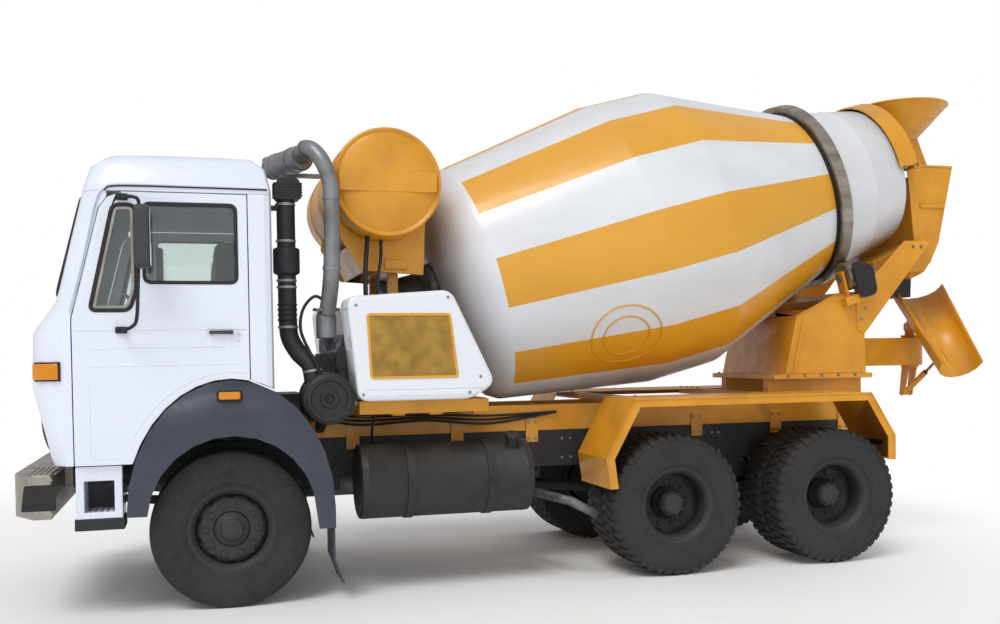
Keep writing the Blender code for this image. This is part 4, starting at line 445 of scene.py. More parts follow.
def piece(name, bm, finish, body="truck", edge=0.0, angle=35, more=()):
    """Makes a piece of a bmesh, with its finish, that rides on a body."""
    bmesh.ops.recalc_face_normals(bm, faces=bm.faces)
    bmesh.ops.translate(bm, verts=bm.verts, vec=SHIFT)
    mesh = bpy.data.meshes.new(name)
    bm.to_mesh(mesh)
    bm.free()
    return place_mesh(name, mesh, finish, body, edge, angle, more)


def place_mesh(name, mesh, finish, body, edge, angle, more=()):
    obj = bpy.data.objects.new(name, mesh)
    bpy.context.scene.collection.objects.link(obj)
    for key in (finish, *more):
        mesh.materials.append(FINISHES[key])
    mesh.shade_smooth()
    mesh.set_sharp_from_angle(angle=math.radians(angle))
    if edge:
        bevel = obj.modifiers.new("edge", "BEVEL")
        bevel.width = edge
        bevel.segments = 2
        bevel.limit_method = "ANGLE"
        bevel.angle_limit = math.radians(40)
        bevel.use_clamp_overlap = False
        bevel.harden_normals = True
    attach(obj, body)
    return obj


def dressed(node, finish, edge=0.0, angle=35, keep=None, more=(), finish_of=None, name=None):
    """A node's own form with rounded edges and its finish. Keep picks the faces that stay, by their middle."""
    source = frame["nodes"][node]
    bm = bmesh.new()
    bm.from_mesh(source.data)
    bmesh.ops.translate(bm, verts=bm.verts, vec=-SHIFT)
    bmesh.ops.remove_doubles(bm, verts=bm.verts, dist=0.00005)
    if keep:
        gone = [face for face in bm.faces if not keep(face.calc_center_median())]
        bmesh.ops.delete(bm, geom=gone, context="FACES")
    if finish_of:
        for face in bm.faces:
            face.material_index = finish_of(face.calc_center_median(), face.normal)
    if edge:
        bmesh.ops.dissolve_limit(bm, angle_limit=math.radians(0.8), verts=bm.verts, edges=bm.edges,
                                 delimit={"MATERIAL"})
    bmesh.ops.translate(bm, verts=bm.verts, vec=SHIFT)
    mesh = bpy.data.meshes.new(f"{node}_finish")
    bm.to_mesh(mesh)
    bm.free()
    obj = place_mesh(name or f"{node}_finish", mesh, finish, source["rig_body"], edge, angle, more)
    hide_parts(node)
    return obj


def repaint(node, finish):
    """A node whose form is right gets its finish."""
    mesh = frame["nodes"][node].data
    mesh.materials.clear()
    mesh.materials.append(FINISHES[finish])


# ---------------------------------------------------------------- wheels
def wheel_matrix(centre, side):
    """Places a wheel so that the lathe's z axis points out of that side of the truck."""
    return Matrix.Translation(Vector(centre)) @ Matrix.Rotation(-side * math.pi / 2, 4, "X")


def tyre_section(radius, half, bead):
    """Inside bead to outside bead: a bulged side wall with two moulded rings, a shoulder and a crown."""
    outer = []
    for share, rise in ((0.0, 0.78), (0.06, 0.82), (0.14, 0.88), (0.24, 0.945), (0.36, 0.985), (0.50, 1.0),
                        (0.62, 0.992), (0.72, 0.97), (0.80, 0.95)):
        outer.append((bead + (radius - bead) * share, half * rise))
    outer[3:3] = [(bead + (radius - bead) * 0.20, half * 0.92), (bead + (radius - bead) * 0.205, half * 0.945),
                  (bead + (radius - bead) * 0.225, half * 0.948)]
    shoulder = [(radius - 0.040, half * 0.925), (radius - 0.016, half * 0.885), (radius - 0.006, half * 0.83)]
    return outer + shoulder


def tyre(name, centre, side, body, driven, sizes, node):
    low, high = cad(node)
    radius, half = (high.z - low.z) / 2, (high.y - low.y) / 2
    bead = 0.262
    groove_depth = 0.011
    crown = radius - (groove_depth if driven else 0.0)
    side_wall = tyre_section(crown, half, bead)
    top = []
    if driven:
        top = [(crown, half * 0.70), (crown, 0)]
    else:
        for start in (0.72, 0.40, 0.10):
            top += [(crown, half * start), (crown - 0.001, half * (start - 0.12)), (crown - groove_depth, half * (start - 0.13)),
                    (crown - groove_depth, half * (start - 0.17)), (crown, half * (start - 0.18))]
        top = top[:-1] + [(crown - groove_depth, 0)]
    profile = side_wall + top
    profile = profile + [(r, -s) for r, s in profile[-2::-1]]
    matrix = wheel_matrix(centre, side)
    bm = bmesh.new()
    turned(bm, profile, matrix, sides=120, closed=True)
    if driven:
        for k in range(sizes.lugs):
            for flip in (-1, 1):
                turn = 2 * math.pi * (k + (0.5 if flip > 0 else 0)) / sizes.lugs
                lug(bm, matrix @ Matrix.Rotation(turn, 4, "Z"), crown, radius, half, flip,
                    2 * math.pi * radius / sizes.lugs * 0.56)
    obj = piece(name, bm, "rubber", body, angle=28)
    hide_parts(node)


def lug(bm, matrix, crown, radius, half, flip, width):
    """One slanted tread block, from the middle of the tread over the shoulder."""
    lean = 0.020
    rows = []
    for across, depth_top, depth_low, shift in ((0.05, 0.0, -0.014, 0.0), (0.45, 0.0, -0.014, lean * 0.5),
                                                (0.80, -0.003, -0.018, lean), (0.945, -0.020, -0.045, lean)):
        y = flip * half * across
        for level in (depth_top, depth_low):
            r = radius + level
            for edge in (-width / 2, width / 2):
                rows.append(bm.verts.new(matrix @ Vector((r * math.cos((edge + shift) / r),
                                                          r * math.sin((edge + shift) / r), y))))
    for i in range(3):
        a, b = rows[i * 4:i * 4 + 4], rows[i * 4 + 4:i * 4 + 8]
        for p, q in ((0, 1), (1, 3), (3, 2), (2, 0)):
            bm.faces.new((a[p], a[q], b[q], b[p]))
    bm.faces.new((rows[0], rows[1], rows[3], rows[2]))
    bm.faces.new((rows[12], rows[13], rows[15], rows[14]))


def ring_of(count, radius, matrix, depth=0.0, turn=0.0):
    """Places evenly round a matrix's z axis."""
    return [matrix @ Vector((radius * math.cos(turn + 2 * math.pi * k / count),
                             radius * math.sin(turn + 2 * math.pi * k / count), depth)) for k in range(count)]


def rim_barrel(bm, matrix, offset, half=0.112, flange=0.288, seat=0.254, inner=0.238):
    """A two-piece rim: rolled flanges, tyre seats and a loose lock ring on the outer side."""
    outside = [(flange - 0.004, offset + half + 0.004), (flange + 0.002, offset + half - 0.004),
               (flange - 0.004, offset + half - 0.012), (seat, offset + half - 0.018),
               (seat, offset - half + 0.018), (flange - 0.004, offset - half + 0.012),
               (flange + 0.002, offset - half + 0.004), (flange - 0.004, offset - half - 0.004)]
    inside = [(inner + 0.012, offset - half), (inner, offset - half + 0.020), (inner, offset + half - 0.030),
              (inner + 0.006, offset + half - 0.022), (inner + 0.020, offset + half - 0.006),
              (inner + 0.030, offset + half + 0.003)]
    turned(bm, outside + inside, matrix, sides=96, closed=True)


def front_rim(name, centre, side, body, sizes, node):
    """Domed disc with oval hand holes drawn as flat black ovals of painted shade, ten nuts and the hub with its cap."""
    matrix = wheel_matrix(centre, side)
    bm = bmesh.new()
    rim_barrel(bm, matrix, 0.0)
    disc = [(0.240, 0.020), (0.240, 0.035), (0.226, 0.052), (0.205, 0.066), (0.190, 0.072), (0.150, 0.074),
            (0.120, 0.070), (0.112, 0.060), (0.112, 0.030)]
    turned(bm, disc, matrix, sides=96)
    hub = [(0.114, 0.040), (0.114, 0.078), (0.106, 0.086), (0.098, 0.090), (0.086, 0.098), (0.074, 0.104),
           (0.070, 0.112), (0.056, 0.117), (0.030, 0.119), (0.001, 0.119)]
    turned(bm, hub, matrix, sides=64)
    turned(bm, [(0.001, -0.040), (0.125, -0.040), (0.125, 0.030), (0.001, 0.030)], matrix, sides=48)
    turned(bm, [(0.060, -0.110), (0.205, -0.110), (0.205, 0.010), (0.060, 0.010)], matrix, sides=48, closed=True)
    bolts(bm, ring_of(sizes.nuts, 0.1675, matrix, 0.073), matrix.to_3x3() @ Vector((0, 0, 1)), 0.018)
    bolts(bm, ring_of(8, 0.100, matrix, 0.088, 0.2), matrix.to_3x3() @ Vector((0, 0, 1)), 0.008)
    obj = piece(name, bm, "rim", body, angle=40)
    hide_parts(node)
    # Painted shade: each hand hole is a flat black oval on the disc, standing for the shade seen through the real hole.
    bm = bmesh.new()
    for k in range(sizes.nuts):
        turn = matrix @ Matrix.Rotation(2 * math.pi * (k + 0.5) / sizes.nuts, 4, "Z") @ Matrix.Translation((0.214, 0, 0.0588))
        hole_with_painted_shade = turn @ Matrix.Rotation(math.radians(38), 4, "Y") @ Matrix.Diagonal((0.55, 1.25, 1, 1))
        turned(bm, [(0.001, 0.004), (0.021, 0.004), (0.024, 0.0)], hole_with_painted_shade, sides=20)
    piece(f"{name}_hand_hole_painted_shade", bm, "seal", body)


def twin_rims(name, centre, side, body, sizes, node):
    """Two rims back to back: the outer disc is dished in, and the hub stands out of it."""
    matrix = wheel_matrix(centre, side)
    bm = bmesh.new()
    for offset in (0.155, -0.155):
        rim_barrel(bm, matrix, offset)
    disc = [(0.240, 0.120), (0.240, 0.085), (0.232, 0.062), (0.214, 0.046), (0.196, 0.040), (0.150, 0.038),
            (0.118, 0.038), (0.118, 0.020)]
    turned(bm, disc, matrix, sides=96)
    turned(bm, [(0.118, 0.002), (0.200, 0.000), (0.222, -0.012), (0.240, -0.060), (0.240, -0.100)], matrix, sides=64)
    hub = [(0.122, 0.030), (0.122, 0.080), (0.112, 0.090), (0.104, 0.120), (0.098, 0.160), (0.092, 0.176),
           (0.080, 0.186), (0.074, 0.198), (0.060, 0.203), (0.001, 0.205)]
    turned(bm, hub, matrix, sides=64)
    turned(bm, [(0.060, -0.250), (0.210, -0.250), (0.214, -0.030), (0.060, -0.030)], matrix, sides=48, closed=True)
    bolts(bm, ring_of(sizes.nuts, 0.1675, matrix, 0.038), matrix.to_3x3() @ Vector((0, 0, 1)), 0.018)
    bolts(bm, ring_of(8, 0.086, matrix, 0.186, 0.3), matrix.to_3x3() @ Vector((0, 0, 1)), 0.008)
    obj = piece(name, bm, "rim", body, angle=40)
    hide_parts(node)
    # Painted shade: each hand hole is a flat black oval on the outer disc, standing for the shade seen through the real
    # hole.
    bm = bmesh.new()
    for k in range(5):
        turn = matrix @ Matrix.Rotation(2 * math.pi * (k + 0.5) / 5, 4, "Z") @ Matrix.Translation((0.216, 0, 0.0475))
        hole_with_painted_shade = turn @ Matrix.Rotation(math.radians(-42), 4, "Y") @ Matrix.Diagonal((0.6, 1.3, 1, 1))
        turned(bm, [(0.001, 0.003), (0.024, 0.003), (0.027, 0.0)], hole_with_painted_shade, sides=20)
    piece(f"{name}_hand_hole_painted_shade", bm, "seal", body)


class MIXER_OT_wheels(bpy.types.Operator):
    """Tyres with their tread, rims, hubs and nuts"""
    bl_idname = "mixer.wheels"
    bl_label = "Wheels"

    def execute(self, context):
        sizes = context.scene.mixer_sizes
        for side_name, side in SIDES:
            for node, driven, body in (
                    (f"front_tyre_{side_name}", False, f"front_wheel_{side_name}"),
                    (f"middle_outer_tyre_{side_name}", True, f"middle_wheels_{side_name}"),
                    (f"middle_inner_tyre_{side_name}", True, f"middle_wheels_{side_name}"),
                    (f"rear_outer_tyre_{side_name}", True, f"rear_wheels_{side_name}"),
                    (f"rear_inner_tyre_{side_name}", True, f"rear_wheels_{side_name}")):
                low, high = cad(node)
                tyre(f"{node}_tread", (low + high) / 2, side, body, driven, sizes, node)
            low, high = cad(f"front_tyre_{side_name}")
            front_rim(f"front_disc_{side_name}", (low + high) / 2, side, f"front_wheel_{side_name}", sizes,
                      f"front_rim_{side_name}")
            for axle in ("middle", "rear"):
                low, high = cad(f"{axle}_outer_tyre_{side_name}")
                in_low, in_high = cad(f"{axle}_inner_tyre_{side_name}")
                centre = (low + high + in_low + in_high) / 4
                twin_rims(f"{axle}_discs_{side_name}", centre, side, f"{axle}_wheels_{side_name}", sizes,
                          f"{axle}_rims_{side_name}")
        return {"FINISHED"}


# ---------------------------------------------------------------- drum
DRUM_TILT = math.radians(15)
DRUM_BASE = Vector((1.930, 0, 2.234))
STRIPE_END = 3.04


def drum_matrix(side=1):
    """The drum's axis: z runs back and up along it, and x points down."""
    return Matrix.Translation(DRUM_BASE) @ Matrix.Rotation(math.pi / 2 - DRUM_TILT, 4, "Y")


def on_drum(along, down, across=0.0):
    return drum_matrix() @ Vector((down, across, along))


DRUM_OUTSIDE = [(0.604, 3.810), (0.612, 3.800), (0.668, 3.480), (0.674, 3.470), (0.674, 3.455), (0.672, 3.440),
                (0.742, 3.140), (0.7445, 3.120), (0.7445, 3.040), (0.7455, 3.000), (0.960, 2.405), (1.171, 1.830),
                (1.1745, 1.810), (1.175, 1.790), (1.175, 1.260), (1.1745, 1.240), (1.170, 1.215), (0.958, 0.022),
                (0.954, 0.0), (0.948, -0.030), (0.900, -0.108), (0.836, -0.158), (0.756, -0.200), (0.640, -0.242),
                (0.520, -0.268), (0.300, -0.298), (0.001, -0.300)]


def drum_radius(along):
    """Outer radius of the drum at a distance along its axis."""
    points = sorted((s, r) for r, s in DRUM_OUTSIDE)
    for (s0, r0), (s1, r1) in zip(points, points[1:]):
        if s0 <= along <= s1:
            return r0 + (r1 - r0) * (along - s0) / max(s1 - s0, 1e-9)
    return points[-1][1]


class MIXER_OT_drum(bpy.types.Operator):
    """Drum shell with its stripes, seams, hatch, track ring and rollers"""
    bl_idname = "mixer.drum"
    bl_label = "Drum"

    def execute(self, context):
        sizes = context.scene.mixer_sizes
        sides = sizes.stripes * 2 * 9
        step = 1 / (sizes.stripes * 2)
        offset = sizes.stripe_turn / (2 * math.pi)

        def finish_of(i, turn):
            if i >= len(DRUM_OUTSIDE) - 1:
                return 0
            middle = (DRUM_OUTSIDE[i][1] + DRUM_OUTSIDE[i + 1][1]) / 2
            if not 0 < middle < STRIPE_END:
                return 0
            # turn is from the bottom; the first stripe starts from the top
            return 1 if int(math.floor((turn + 1e-6) / step)) % 2 else 0

        inside = [(max(r - 0.008, 0.001), s + (0.008 if s < 0 else 0)) for r, s in DRUM_OUTSIDE[::-1]
                  if s not in (3.455, 3.470)]
        bm = bmesh.new()
        turn = Matrix.Rotation(math.pi - sizes.stripe_turn, 4, "Z")
        turned(bm, DRUM_OUTSIDE + inside, drum_matrix() @ turn, sides=sides, closed=True, finish_of=finish_of)
        obj = piece("drum_painted_shell", bm, "drum", "drum", angle=30, more=("stripe",))
        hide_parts("drum_shell")
        bm = bmesh.new()
        inner, outer, half, middle = 0.7455, 0.810, 0.050, 3.070
        turned(bm, [(inner, middle + half), (outer - 0.006, middle + half), (outer, middle + half - 0.006),
                    (outer, middle - half + 0.006), (outer - 0.006, middle - half), (inner, middle - half)],
               drum_matrix(), sides=144, closed=True)
        obj = piece("drum_track", bm, "track", "drum", angle=30)
        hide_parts("drum_ring")
        bm = bmesh.new()
        for along in (3.008, 3.132):
            turned(bm, [(0.7445, along - 0.012), (0.762, along - 0.006), (0.762, along + 0.006), (0.7445, along + 0.012)],
                   drum_matrix(), sides=96, closed=True)
        piece("drum_track_clips", bm, "seal", "drum")
        self.hatch()
        self.rollers()
        return {"FINISHED"}

    def hatch(self):
        """Round hatch in the front cone, outlined by an outer and an inner rim, on two sides of the drum."""
        for number, angle in enumerate((math.radians(128), math.radians(308))):
            along = 0.86
            bm = bmesh.new()
            for ring, lift in ((0.275, 0.004), (0.180, 0.004)):
                points = []
                for k in range(64):
                    a = 2 * math.pi * k / 64
                    here = along + ring * math.cos(a)
                    radius = drum_radius(here)
                    turn = math.pi + angle + ring * math.sin(a) / radius
                    points.append(drum_matrix() @ Matrix.Rotation(turn, 4, "Z") @ Vector((radius + lift, 0, here)))
                tube(bm, points, 0.006, 8, closed=True)
            piece(f"drum_hatch_rim_{number}", bm, "drum" if number else "stripe", "drum")

    def rollers(self):
        for side_name, side in SIDES:
            low, high = cad(f"drum_roller_{side_name}")
            matrix = Matrix.Translation((low + high) / 2) @ Matrix.Rotation(math.pi / 2 - DRUM_TILT, 4, "Y")
            bm = bmesh.new()
            half, shaft = 0.055, 0.099
            turned(bm, [(0.001, shaft), (0.030, shaft), (0.030, half + 0.002), (0.045, half), (0.110, half), (0.124, half - 0.012),
                        (0.125, half - 0.016), (0.125, -half + 0.016), (0.124, -half + 0.012), (0.110, -half),
                        (0.045, -half), (0.030, -half - 0.002), (0.030, -shaft), (0.001, -shaft)], matrix, sides=48)
            obj = piece(f"drum_roller_{side_name}_steel", bm, "track", f"roller_{side_name}")
            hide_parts(f"drum_roller_{side_name}")


# ---------------------------------------------------------------- cab fittings
FRONT_LINE = ((1.000, -1.100), (1.500, -1.215), (1.850, -1.205), (2.050, -1.060), (2.780, -0.880))
QUARTER_WINDOW = [(-0.850, 1.985), (-0.605, 1.985), (-0.560, 2.120), (-0.560, 2.665), (-0.700, 2.665)]
DOOR_WINDOW = [(-0.515, 2.165), (0.060, 2.165), (0.060, 2.675), (-0.515, 2.675)]
CAB_SIDE = 1.200
SKIN = 0.0015


def front_x(height):
    """Where the cab's front face stands at a height."""
    for (z0, x0), (z1, x1) in zip(FRONT_LINE, FRONT_LINE[1:]):
        if height <= z1:
            return x0 + (x1 - x0) * (height - z0) / (z1 - z0)
    return FRONT_LINE[-1][1]


def on_front(bm, outline, low, high):
    """A (y, z) outline given thickness on the cab's leaning front, out from its face."""
    before = set(bm.verts)
    slab(bm, outline, -high, -low, "X")
    for vert in set(bm.verts) - before:
        vert.co.x += front_x(vert.co.z)


def shifted(outline, distance):
    """A closed outline moved outwards by a distance, or inwards where it is negative."""
    area = sum(a[0] * b[1] - b[0] * a[1] for a, b in zip(outline, outline[1:] + outline[:1]))
    sign = 1 if area > 0 else -1
    made = []
    for i, here in enumerate(outline):
        before, after = Vector(outline[i - 1]), Vector(outline[(i + 1) % len(outline)])
        first, second = (Vector(here) - before).normalized(), (after - Vector(here)).normalized()
        along = (first + second).normalized()
        stretch = max(math.sqrt((1 + first.dot(second)) / 2), 0.5)
        made.append((here[0] + along.y * sign * distance / stretch, here[1] - along.x * sign * distance / stretch))
    return made


def frame_of(bm, inner, outer, low, high):
    """A flat ring between two (x, z) outlines with as many points, given thickness across y."""
    rows = [[bm.verts.new((x, y, z)) for x, z in outline]
            for outline, y in ((inner, low), (outer, low), (outer, high), (inner, high))]
    count = len(inner)
    for i in range(count):
        j = (i + 1) % count
        for a, b in ((0, 1), (1, 2), (2, 3), (3, 0)):
            bm.faces.new((rows[a][i], rows[a][j], rows[b][j], rows[b][i]))


def span(side, near, far):
    return sorted((side * near, side * far))


def corner_band(bm, centre, low_radius, high_radius, start, end, low, high, steps=10):
    """A band round an upright corner. Angles run from straight out of the side towards the front."""
    x, y, side = centre
    rows = []
    for k in range(steps + 1):
        angle = math.radians(start + (end - start) * k / steps)
        across, ahead = math.cos(angle), math.sin(angle)
        rows.append([bm.verts.new((x - ahead * r, y + side * across * r, z))
                     for r, z in ((low_radius, low), (high_radius, low), (high_radius, high), (low_radius, high))])
    for here, there in zip(rows, rows[1:]):
        for i in range(4):
            j = (i + 1) % 4
            bm.faces.new((here[i], there[i], there[j], here[j]))
    bm.faces.new(rows[0])
    bm.faces.new(rows[-1][::-1])


class MIXER_OT_doors(bpy.types.Operator):
    """Doors with their seals, handles, creases and mirrors"""
    bl_idname = "mixer.doors"
    bl_label = "Doors"

    def execute(self, context):
        for name, side in SIDES:
            body = f"door_{name}_body"
            dressed(f"door_{name}", "cab", 0.004, keep=lambda middle: abs(middle.y) < CAB_SIDE + 0.0015)
            repaint(f"door_glass_{name}", "glass")
            self.seals(name, side, body)
            self.handle(name, side, body)
            self.mirror(name, side, body)
        return {"FINISHED"}

    def seals(self, name, side, body):
        bm = bmesh.new()
        for outline in (QUARTER_WINDOW, DOOR_WINDOW):
            line = rounded(outline, 0.045)
            frame_of(bm, shifted(line, -0.014), shifted(line, 0.010), *span(side, CAB_SIDE - 0.016, CAB_SIDE + 0.004))
        piece(f"window_seals_{name}", bm, "seal", body, edge=0.002)
        bm = bmesh.new()
        line = rounded(QUARTER_WINDOW, 0.045)
        frame_of(bm, shifted(line, -0.034), shifted(line, -0.0145), *span(side, CAB_SIDE - 0.024, CAB_SIDE - 0.002))
        piece(f"quarter_frame_{name}", bm, "zinc", body, edge=0.002)
        bm = bmesh.new()
        y = side * (CAB_SIDE - SKIN)
        tube(bm, [(-0.935, y, 1.862), (-0.5, y, 1.864), (0.120, y, 1.866)], 0.0055, 8)
        for height in (1.745, 1.632):
            tube(bm, [(-0.845, y, height), (0.070, y, height + 0.004)], 0.0045, 8)
        panel = [(-0.860, y, 1.520), (-0.860, y, 1.080), (-0.830, y, 1.045), (-0.700, y, 1.045)]
        tube(bm, panel, 0.0045, 8)
        arch = [(0.010 - 0.735 * math.cos(a), y, 0.66 + 0.925 * math.sin(a))
                for a in (math.radians(d) for d in range(34, 100, 8))]
        tube(bm, arch, 0.0045, 8)
        piece(f"door_creases_{name}", bm, "cab", body)

    def handle(self, name, side, body):
        bm = bmesh.new()
        line = rounded([(-0.150, 1.815), (0.085, 1.815), (0.085, 1.872), (-0.150, 1.872)], 0.022)
        frame_of(bm, shifted(line, -0.010), line, *span(side, CAB_SIDE - 0.001, CAB_SIDE + 0.004))
        piece(f"handle_recess_{name}", bm, "cab", body, edge=0.002)
        bm = bmesh.new()
        grip = rounded([(-0.125, 1.832), (0.030, 1.830), (0.030, 1.856), (-0.125, 1.853)], 0.011)
        slab(bm, grip, *span(side, CAB_SIDE + 0.018, CAB_SIDE + 0.031))
        for x in (-0.110, 0.016):
            slab(bm, rounded([(x - 0.012, 1.832), (x + 0.012, 1.832), (x + 0.012, 1.854), (x - 0.012, 1.854)], 0.005),
                 *span(side, CAB_SIDE - 0.002, CAB_SIDE + 0.020))
        piece(f"door_pull_{name}", bm, "plastic", body, edge=0.003)
        bm = bmesh.new()
        rod(bm, (0.058, side * (CAB_SIDE - 0.002), 1.843), (0.058, side * (CAB_SIDE + 0.014), 1.843), 0.013, 24)
        rod(bm, (0.058, side * CAB_SIDE, 1.790), (0.058, side * (CAB_SIDE + 0.006), 1.790), 0.010, 24)
        piece(f"door_lock_{name}", bm, "chrome", body, edge=0.0015)

    def mirror(self, name, side, body):
        foot, out = side * (CAB_SIDE + 0.006), side * (CAB_SIDE + 0.110)
        bm = bmesh.new()
        tube(bm, [(-0.640, foot, 2.700), (-0.618, out * 0.975, 2.702), (-0.560, out, 2.696), (-0.532, out, 2.655),
                  (-0.536, out, 2.45), (-0.548, out, 2.15), (-0.560, out, 1.935), (-0.590, out, 1.880),
                  (-0.640, out * 0.97, 1.863), (-0.660, foot, 1.862)], 0.0115, 12, smooth=4)
        for x, z in ((-0.640, 2.710), (-0.660, 1.862)):
            line = rounded([(x - 0.036, z - 0.021), (x + 0.036, z - 0.021), (x + 0.036, z + 0.021),
                            (x - 0.036, z + 0.021)], 0.010)
            slab(bm, line, *span(side, CAB_SIDE - 0.010, CAB_SIDE + 0.018))
            bolts(bm, [(x + d, side * (CAB_SIDE + 0.018), z) for d in (-0.022, 0.022)], (0, side, 0), 0.007)
        for z in (2.345, 2.535):
            rod(bm, (-0.540, out, z - 0.016), (-0.540, out, z + 0.016), 0.022, 20)
        piece(f"mirror_arm_{name}", bm, "seal", body)
        near, far = span(side, CAB_SIDE + 0.097, CAB_SIDE + 0.273)
        bm = bmesh.new()
        slab(bm, rounded([(near, 2.242), (far, 2.242), (far, 2.638), (near, 2.638)], 0.045, 6), -0.560, -0.466, "X")
        piece(f"mirror_head_{name}", bm, "plastic", body, edge=0.020)
        bm = bmesh.new()
        slab(bm, rounded([(near + 0.012, 2.256), (far - 0.012, 2.256), (far - 0.012, 2.624), (near + 0.012, 2.624)],
                         0.036, 6), -0.4665, -0.4640, "X")
        piece(f"mirror_glass_{name}", bm, "chrome", body)


class MIXER_OT_cab_front(bpy.types.Operator):
    """Windscreen seal, wipers, grille, lamps, gutters and cab steps"""
    bl_idname = "mixer.cab_front"
    bl_label = "Cab Front"

    def execute(self, context):
        for node, finish in (("cab_front_panel", "cab"), ("cab_roof", "cab"), ("cab_rear_wall", "cab"),
                             ("cab_floor", "inner")):
            dressed(node, finish, 0.004 if finish == "cab" else 0.0)
        for node in ("windscreen", "rear_window"):
            repaint(node, "glass")
        self.windscreen()
        self.grille()
        self.lamps()
        for name, side in SIDES:
            self.gutter(name, side)
            self.step(name, side)
        self.rear_window()
        return {"FINISHED"}

    def windscreen(self):
        low, high = 2.095, 2.730
        line = rounded([(-1.035, low), (1.035, low), (1.005, high), (-1.005, high)], 0.075, 6)
        bm = bmesh.new()
        tube(bm, [(front_x(z) - 0.001, y, z) for y, z in line], 0.015, 10, closed=True)
        piece("windscreen_seal", bm, "seal")
        bm = bmesh.new()
        for foot, tip in ((-0.62, -0.10), (0.28, 0.80)):
            rod(bm, (front_x(2.055) + 0.01, foot, 2.055), (front_x(2.055) - 0.035, foot, 2.060), 0.016, 16)
            tube(bm, [(front_x(2.06) - 0.030, foot, 2.062), (front_x(2.10) - 0.040, (foot * 2 + tip) / 3, 2.110),
                      (front_x(2.17) - 0.030, tip, 2.170)], 0.006, 8, smooth=4)
            tube(bm, [(front_x(2.15) - 0.020, tip - 0.26, 2.125), (front_x(2.22) - 0.020, tip + 0.22, 2.235)], 0.007, 8)
        piece("wipers", bm, "seal")

    def grille(self):
        # Painted shade: a black plate behind the slats stands for the shade in the openings between them.
        bm = bmesh.new()
        on_front(bm, rounded([(-0.640, 1.270), (0.640, 1.270), (0.640, 1.640), (-0.640, 1.640)], 0.030), -0.004, 0.003)
        piece("grille_back_painted_shade", bm, "seal")
        bm = bmesh.new()
        for k in range(7):
            z = 1.290 + 0.052 * k
            on_front(bm, [(-0.625, z), (0.625, z), (0.625, z + 0.022), (-0.625, z + 0.022)], 0.000, 0.018)
        for y in (-0.628, -0.210, 0.210, 0.628):
            on_front(bm, [(y - 0.012, 1.275), (y + 0.012, 1.275), (y + 0.012, 1.635), (y - 0.012, 1.635)], 0.0, 0.021)
        for z in (1.268, 1.632):
            on_front(bm, [(-0.645, z), (0.645, z), (0.645, z + 0.016), (-0.645, z + 0.016)], 0.0, 0.023)
        piece("grille_slats", bm, "plastic", edge=0.003)
        bm = bmesh.new()
        line = rounded([(-0.98, 1.665), (0.98, 1.665), (0.98, 1.672), (-0.98, 1.672)], 0.003)
        on_front(bm, line, -0.001, 0.004)
        for y in (-0.56, 0.56):
            on_front(bm, rounded([(y - 0.05, 1.94), (y + 0.05, 1.94), (y + 0.05, 1.965), (y - 0.05, 1.965)], 0.01),
                     0.0, 0.020)
        piece("front_creases", bm, "cab", edge=0.002)

    def lamps(self):
        lens, bezel, bowl = bmesh.new(), bmesh.new(), bmesh.new()
        for side in (-1, 1):
            lean = Vector((-1, 0, -0.22)).normalized()
            place = facing((front_x(1.19) + 0.004, side * 0.815, 1.190), lean)
            turned(bezel, [(0.085, 0.0), (0.116, 0.0), (0.118, 0.010), (0.112, 0.022), (0.098, 0.026), (0.090, 0.020)],
                   place, sides=48, closed=True)
            turned(bowl, [(0.001, 0.004), (0.040, 0.006), (0.090, 0.016)], place, sides=48)
            turned(lens, [(0.091, 0.016), (0.086, 0.024), (0.060, 0.033), (0.030, 0.037), (0.001, 0.038)],
                   place, sides=48)
        piece("headlamp_bezels", bezel, "seal")
        piece("headlamp_bowls", bowl, "chrome")
        piece("headlamp_lenses", lens, "lens")
        bases, ambers = bmesh.new(), bmesh.new()
        for side in (-1, 1):
            corner = (-0.995, side * 0.980, side)
            corner_band(bases, corner, 0.214, 0.2245, 8, 62, 1.542, 1.664)
            corner_band(ambers, corner, 0.222, 0.241, 11, 59, 1.552, 1.654)
            near, far = span(side, 1.203, 1.213)
            slab(bases, rounded([(-0.085, 1.392), (0.078, 1.392), (0.078, 1.462), (-0.085, 1.462)], 0.012), near, far)
            near, far = span(side, 1.211, 1.232)
            slab(ambers, rounded([(-0.072, 1.402), (0.065, 1.402), (0.065, 1.452), (-0.072, 1.452)], 0.014), near, far)
        piece("side_lamp_bases", bases, "seal", edge=0.003)
        piece("side_lamp_lenses", ambers, "amber", edge=0.006)

    def gutter(self, name, side):
        y = side * (CAB_SIDE + 0.001)
        route = [(0.262, y, 2.793), (-0.20, y, 2.795), (-0.660, y, 2.793), (-0.745, y, 2.765), (-0.800, y, 2.680),
                 (-0.880, y, 2.330), (-0.968, y, 1.990)]
        bm = bmesh.new()
        tube(bm, route, 0.0085, 10, smooth=5)
        piece(f"roof_gutter_{name}", bm, "cab")
        bm = bmesh.new()
        tube(bm, [(x, side * (CAB_SIDE + 0.003), z - 0.013) for x, y0, z in route[:4]], 0.005, 8, smooth=5)
        piece(f"roof_gutter_seal_{name}", bm, "seal")

    def step(self, name, side):
        def finish_of(middle, normal):
            return 1 if middle.z < 0.661 or (0.70 < middle.z < 0.899 and abs(normal.z) < 2
                                             and -0.9045 < middle.x < -0.7255 and abs(middle.y) < 1.1695) else 0

        dressed(f"cab_step_{name}", "cab", 0.006, more=("chassis",), finish_of=finish_of)
        bm = bmesh.new()
        for k in range(5):
            x = -0.890 + 0.0375 * k
            slab(bm, rounded([(x, 0.699), (x + 0.014, 0.699), (x + 0.014, 0.706), (x, 0.706)], 0.002),
                 *span(side, 0.95, 1.160))
        piece(f"step_treads_{name}", bm, "zinc")

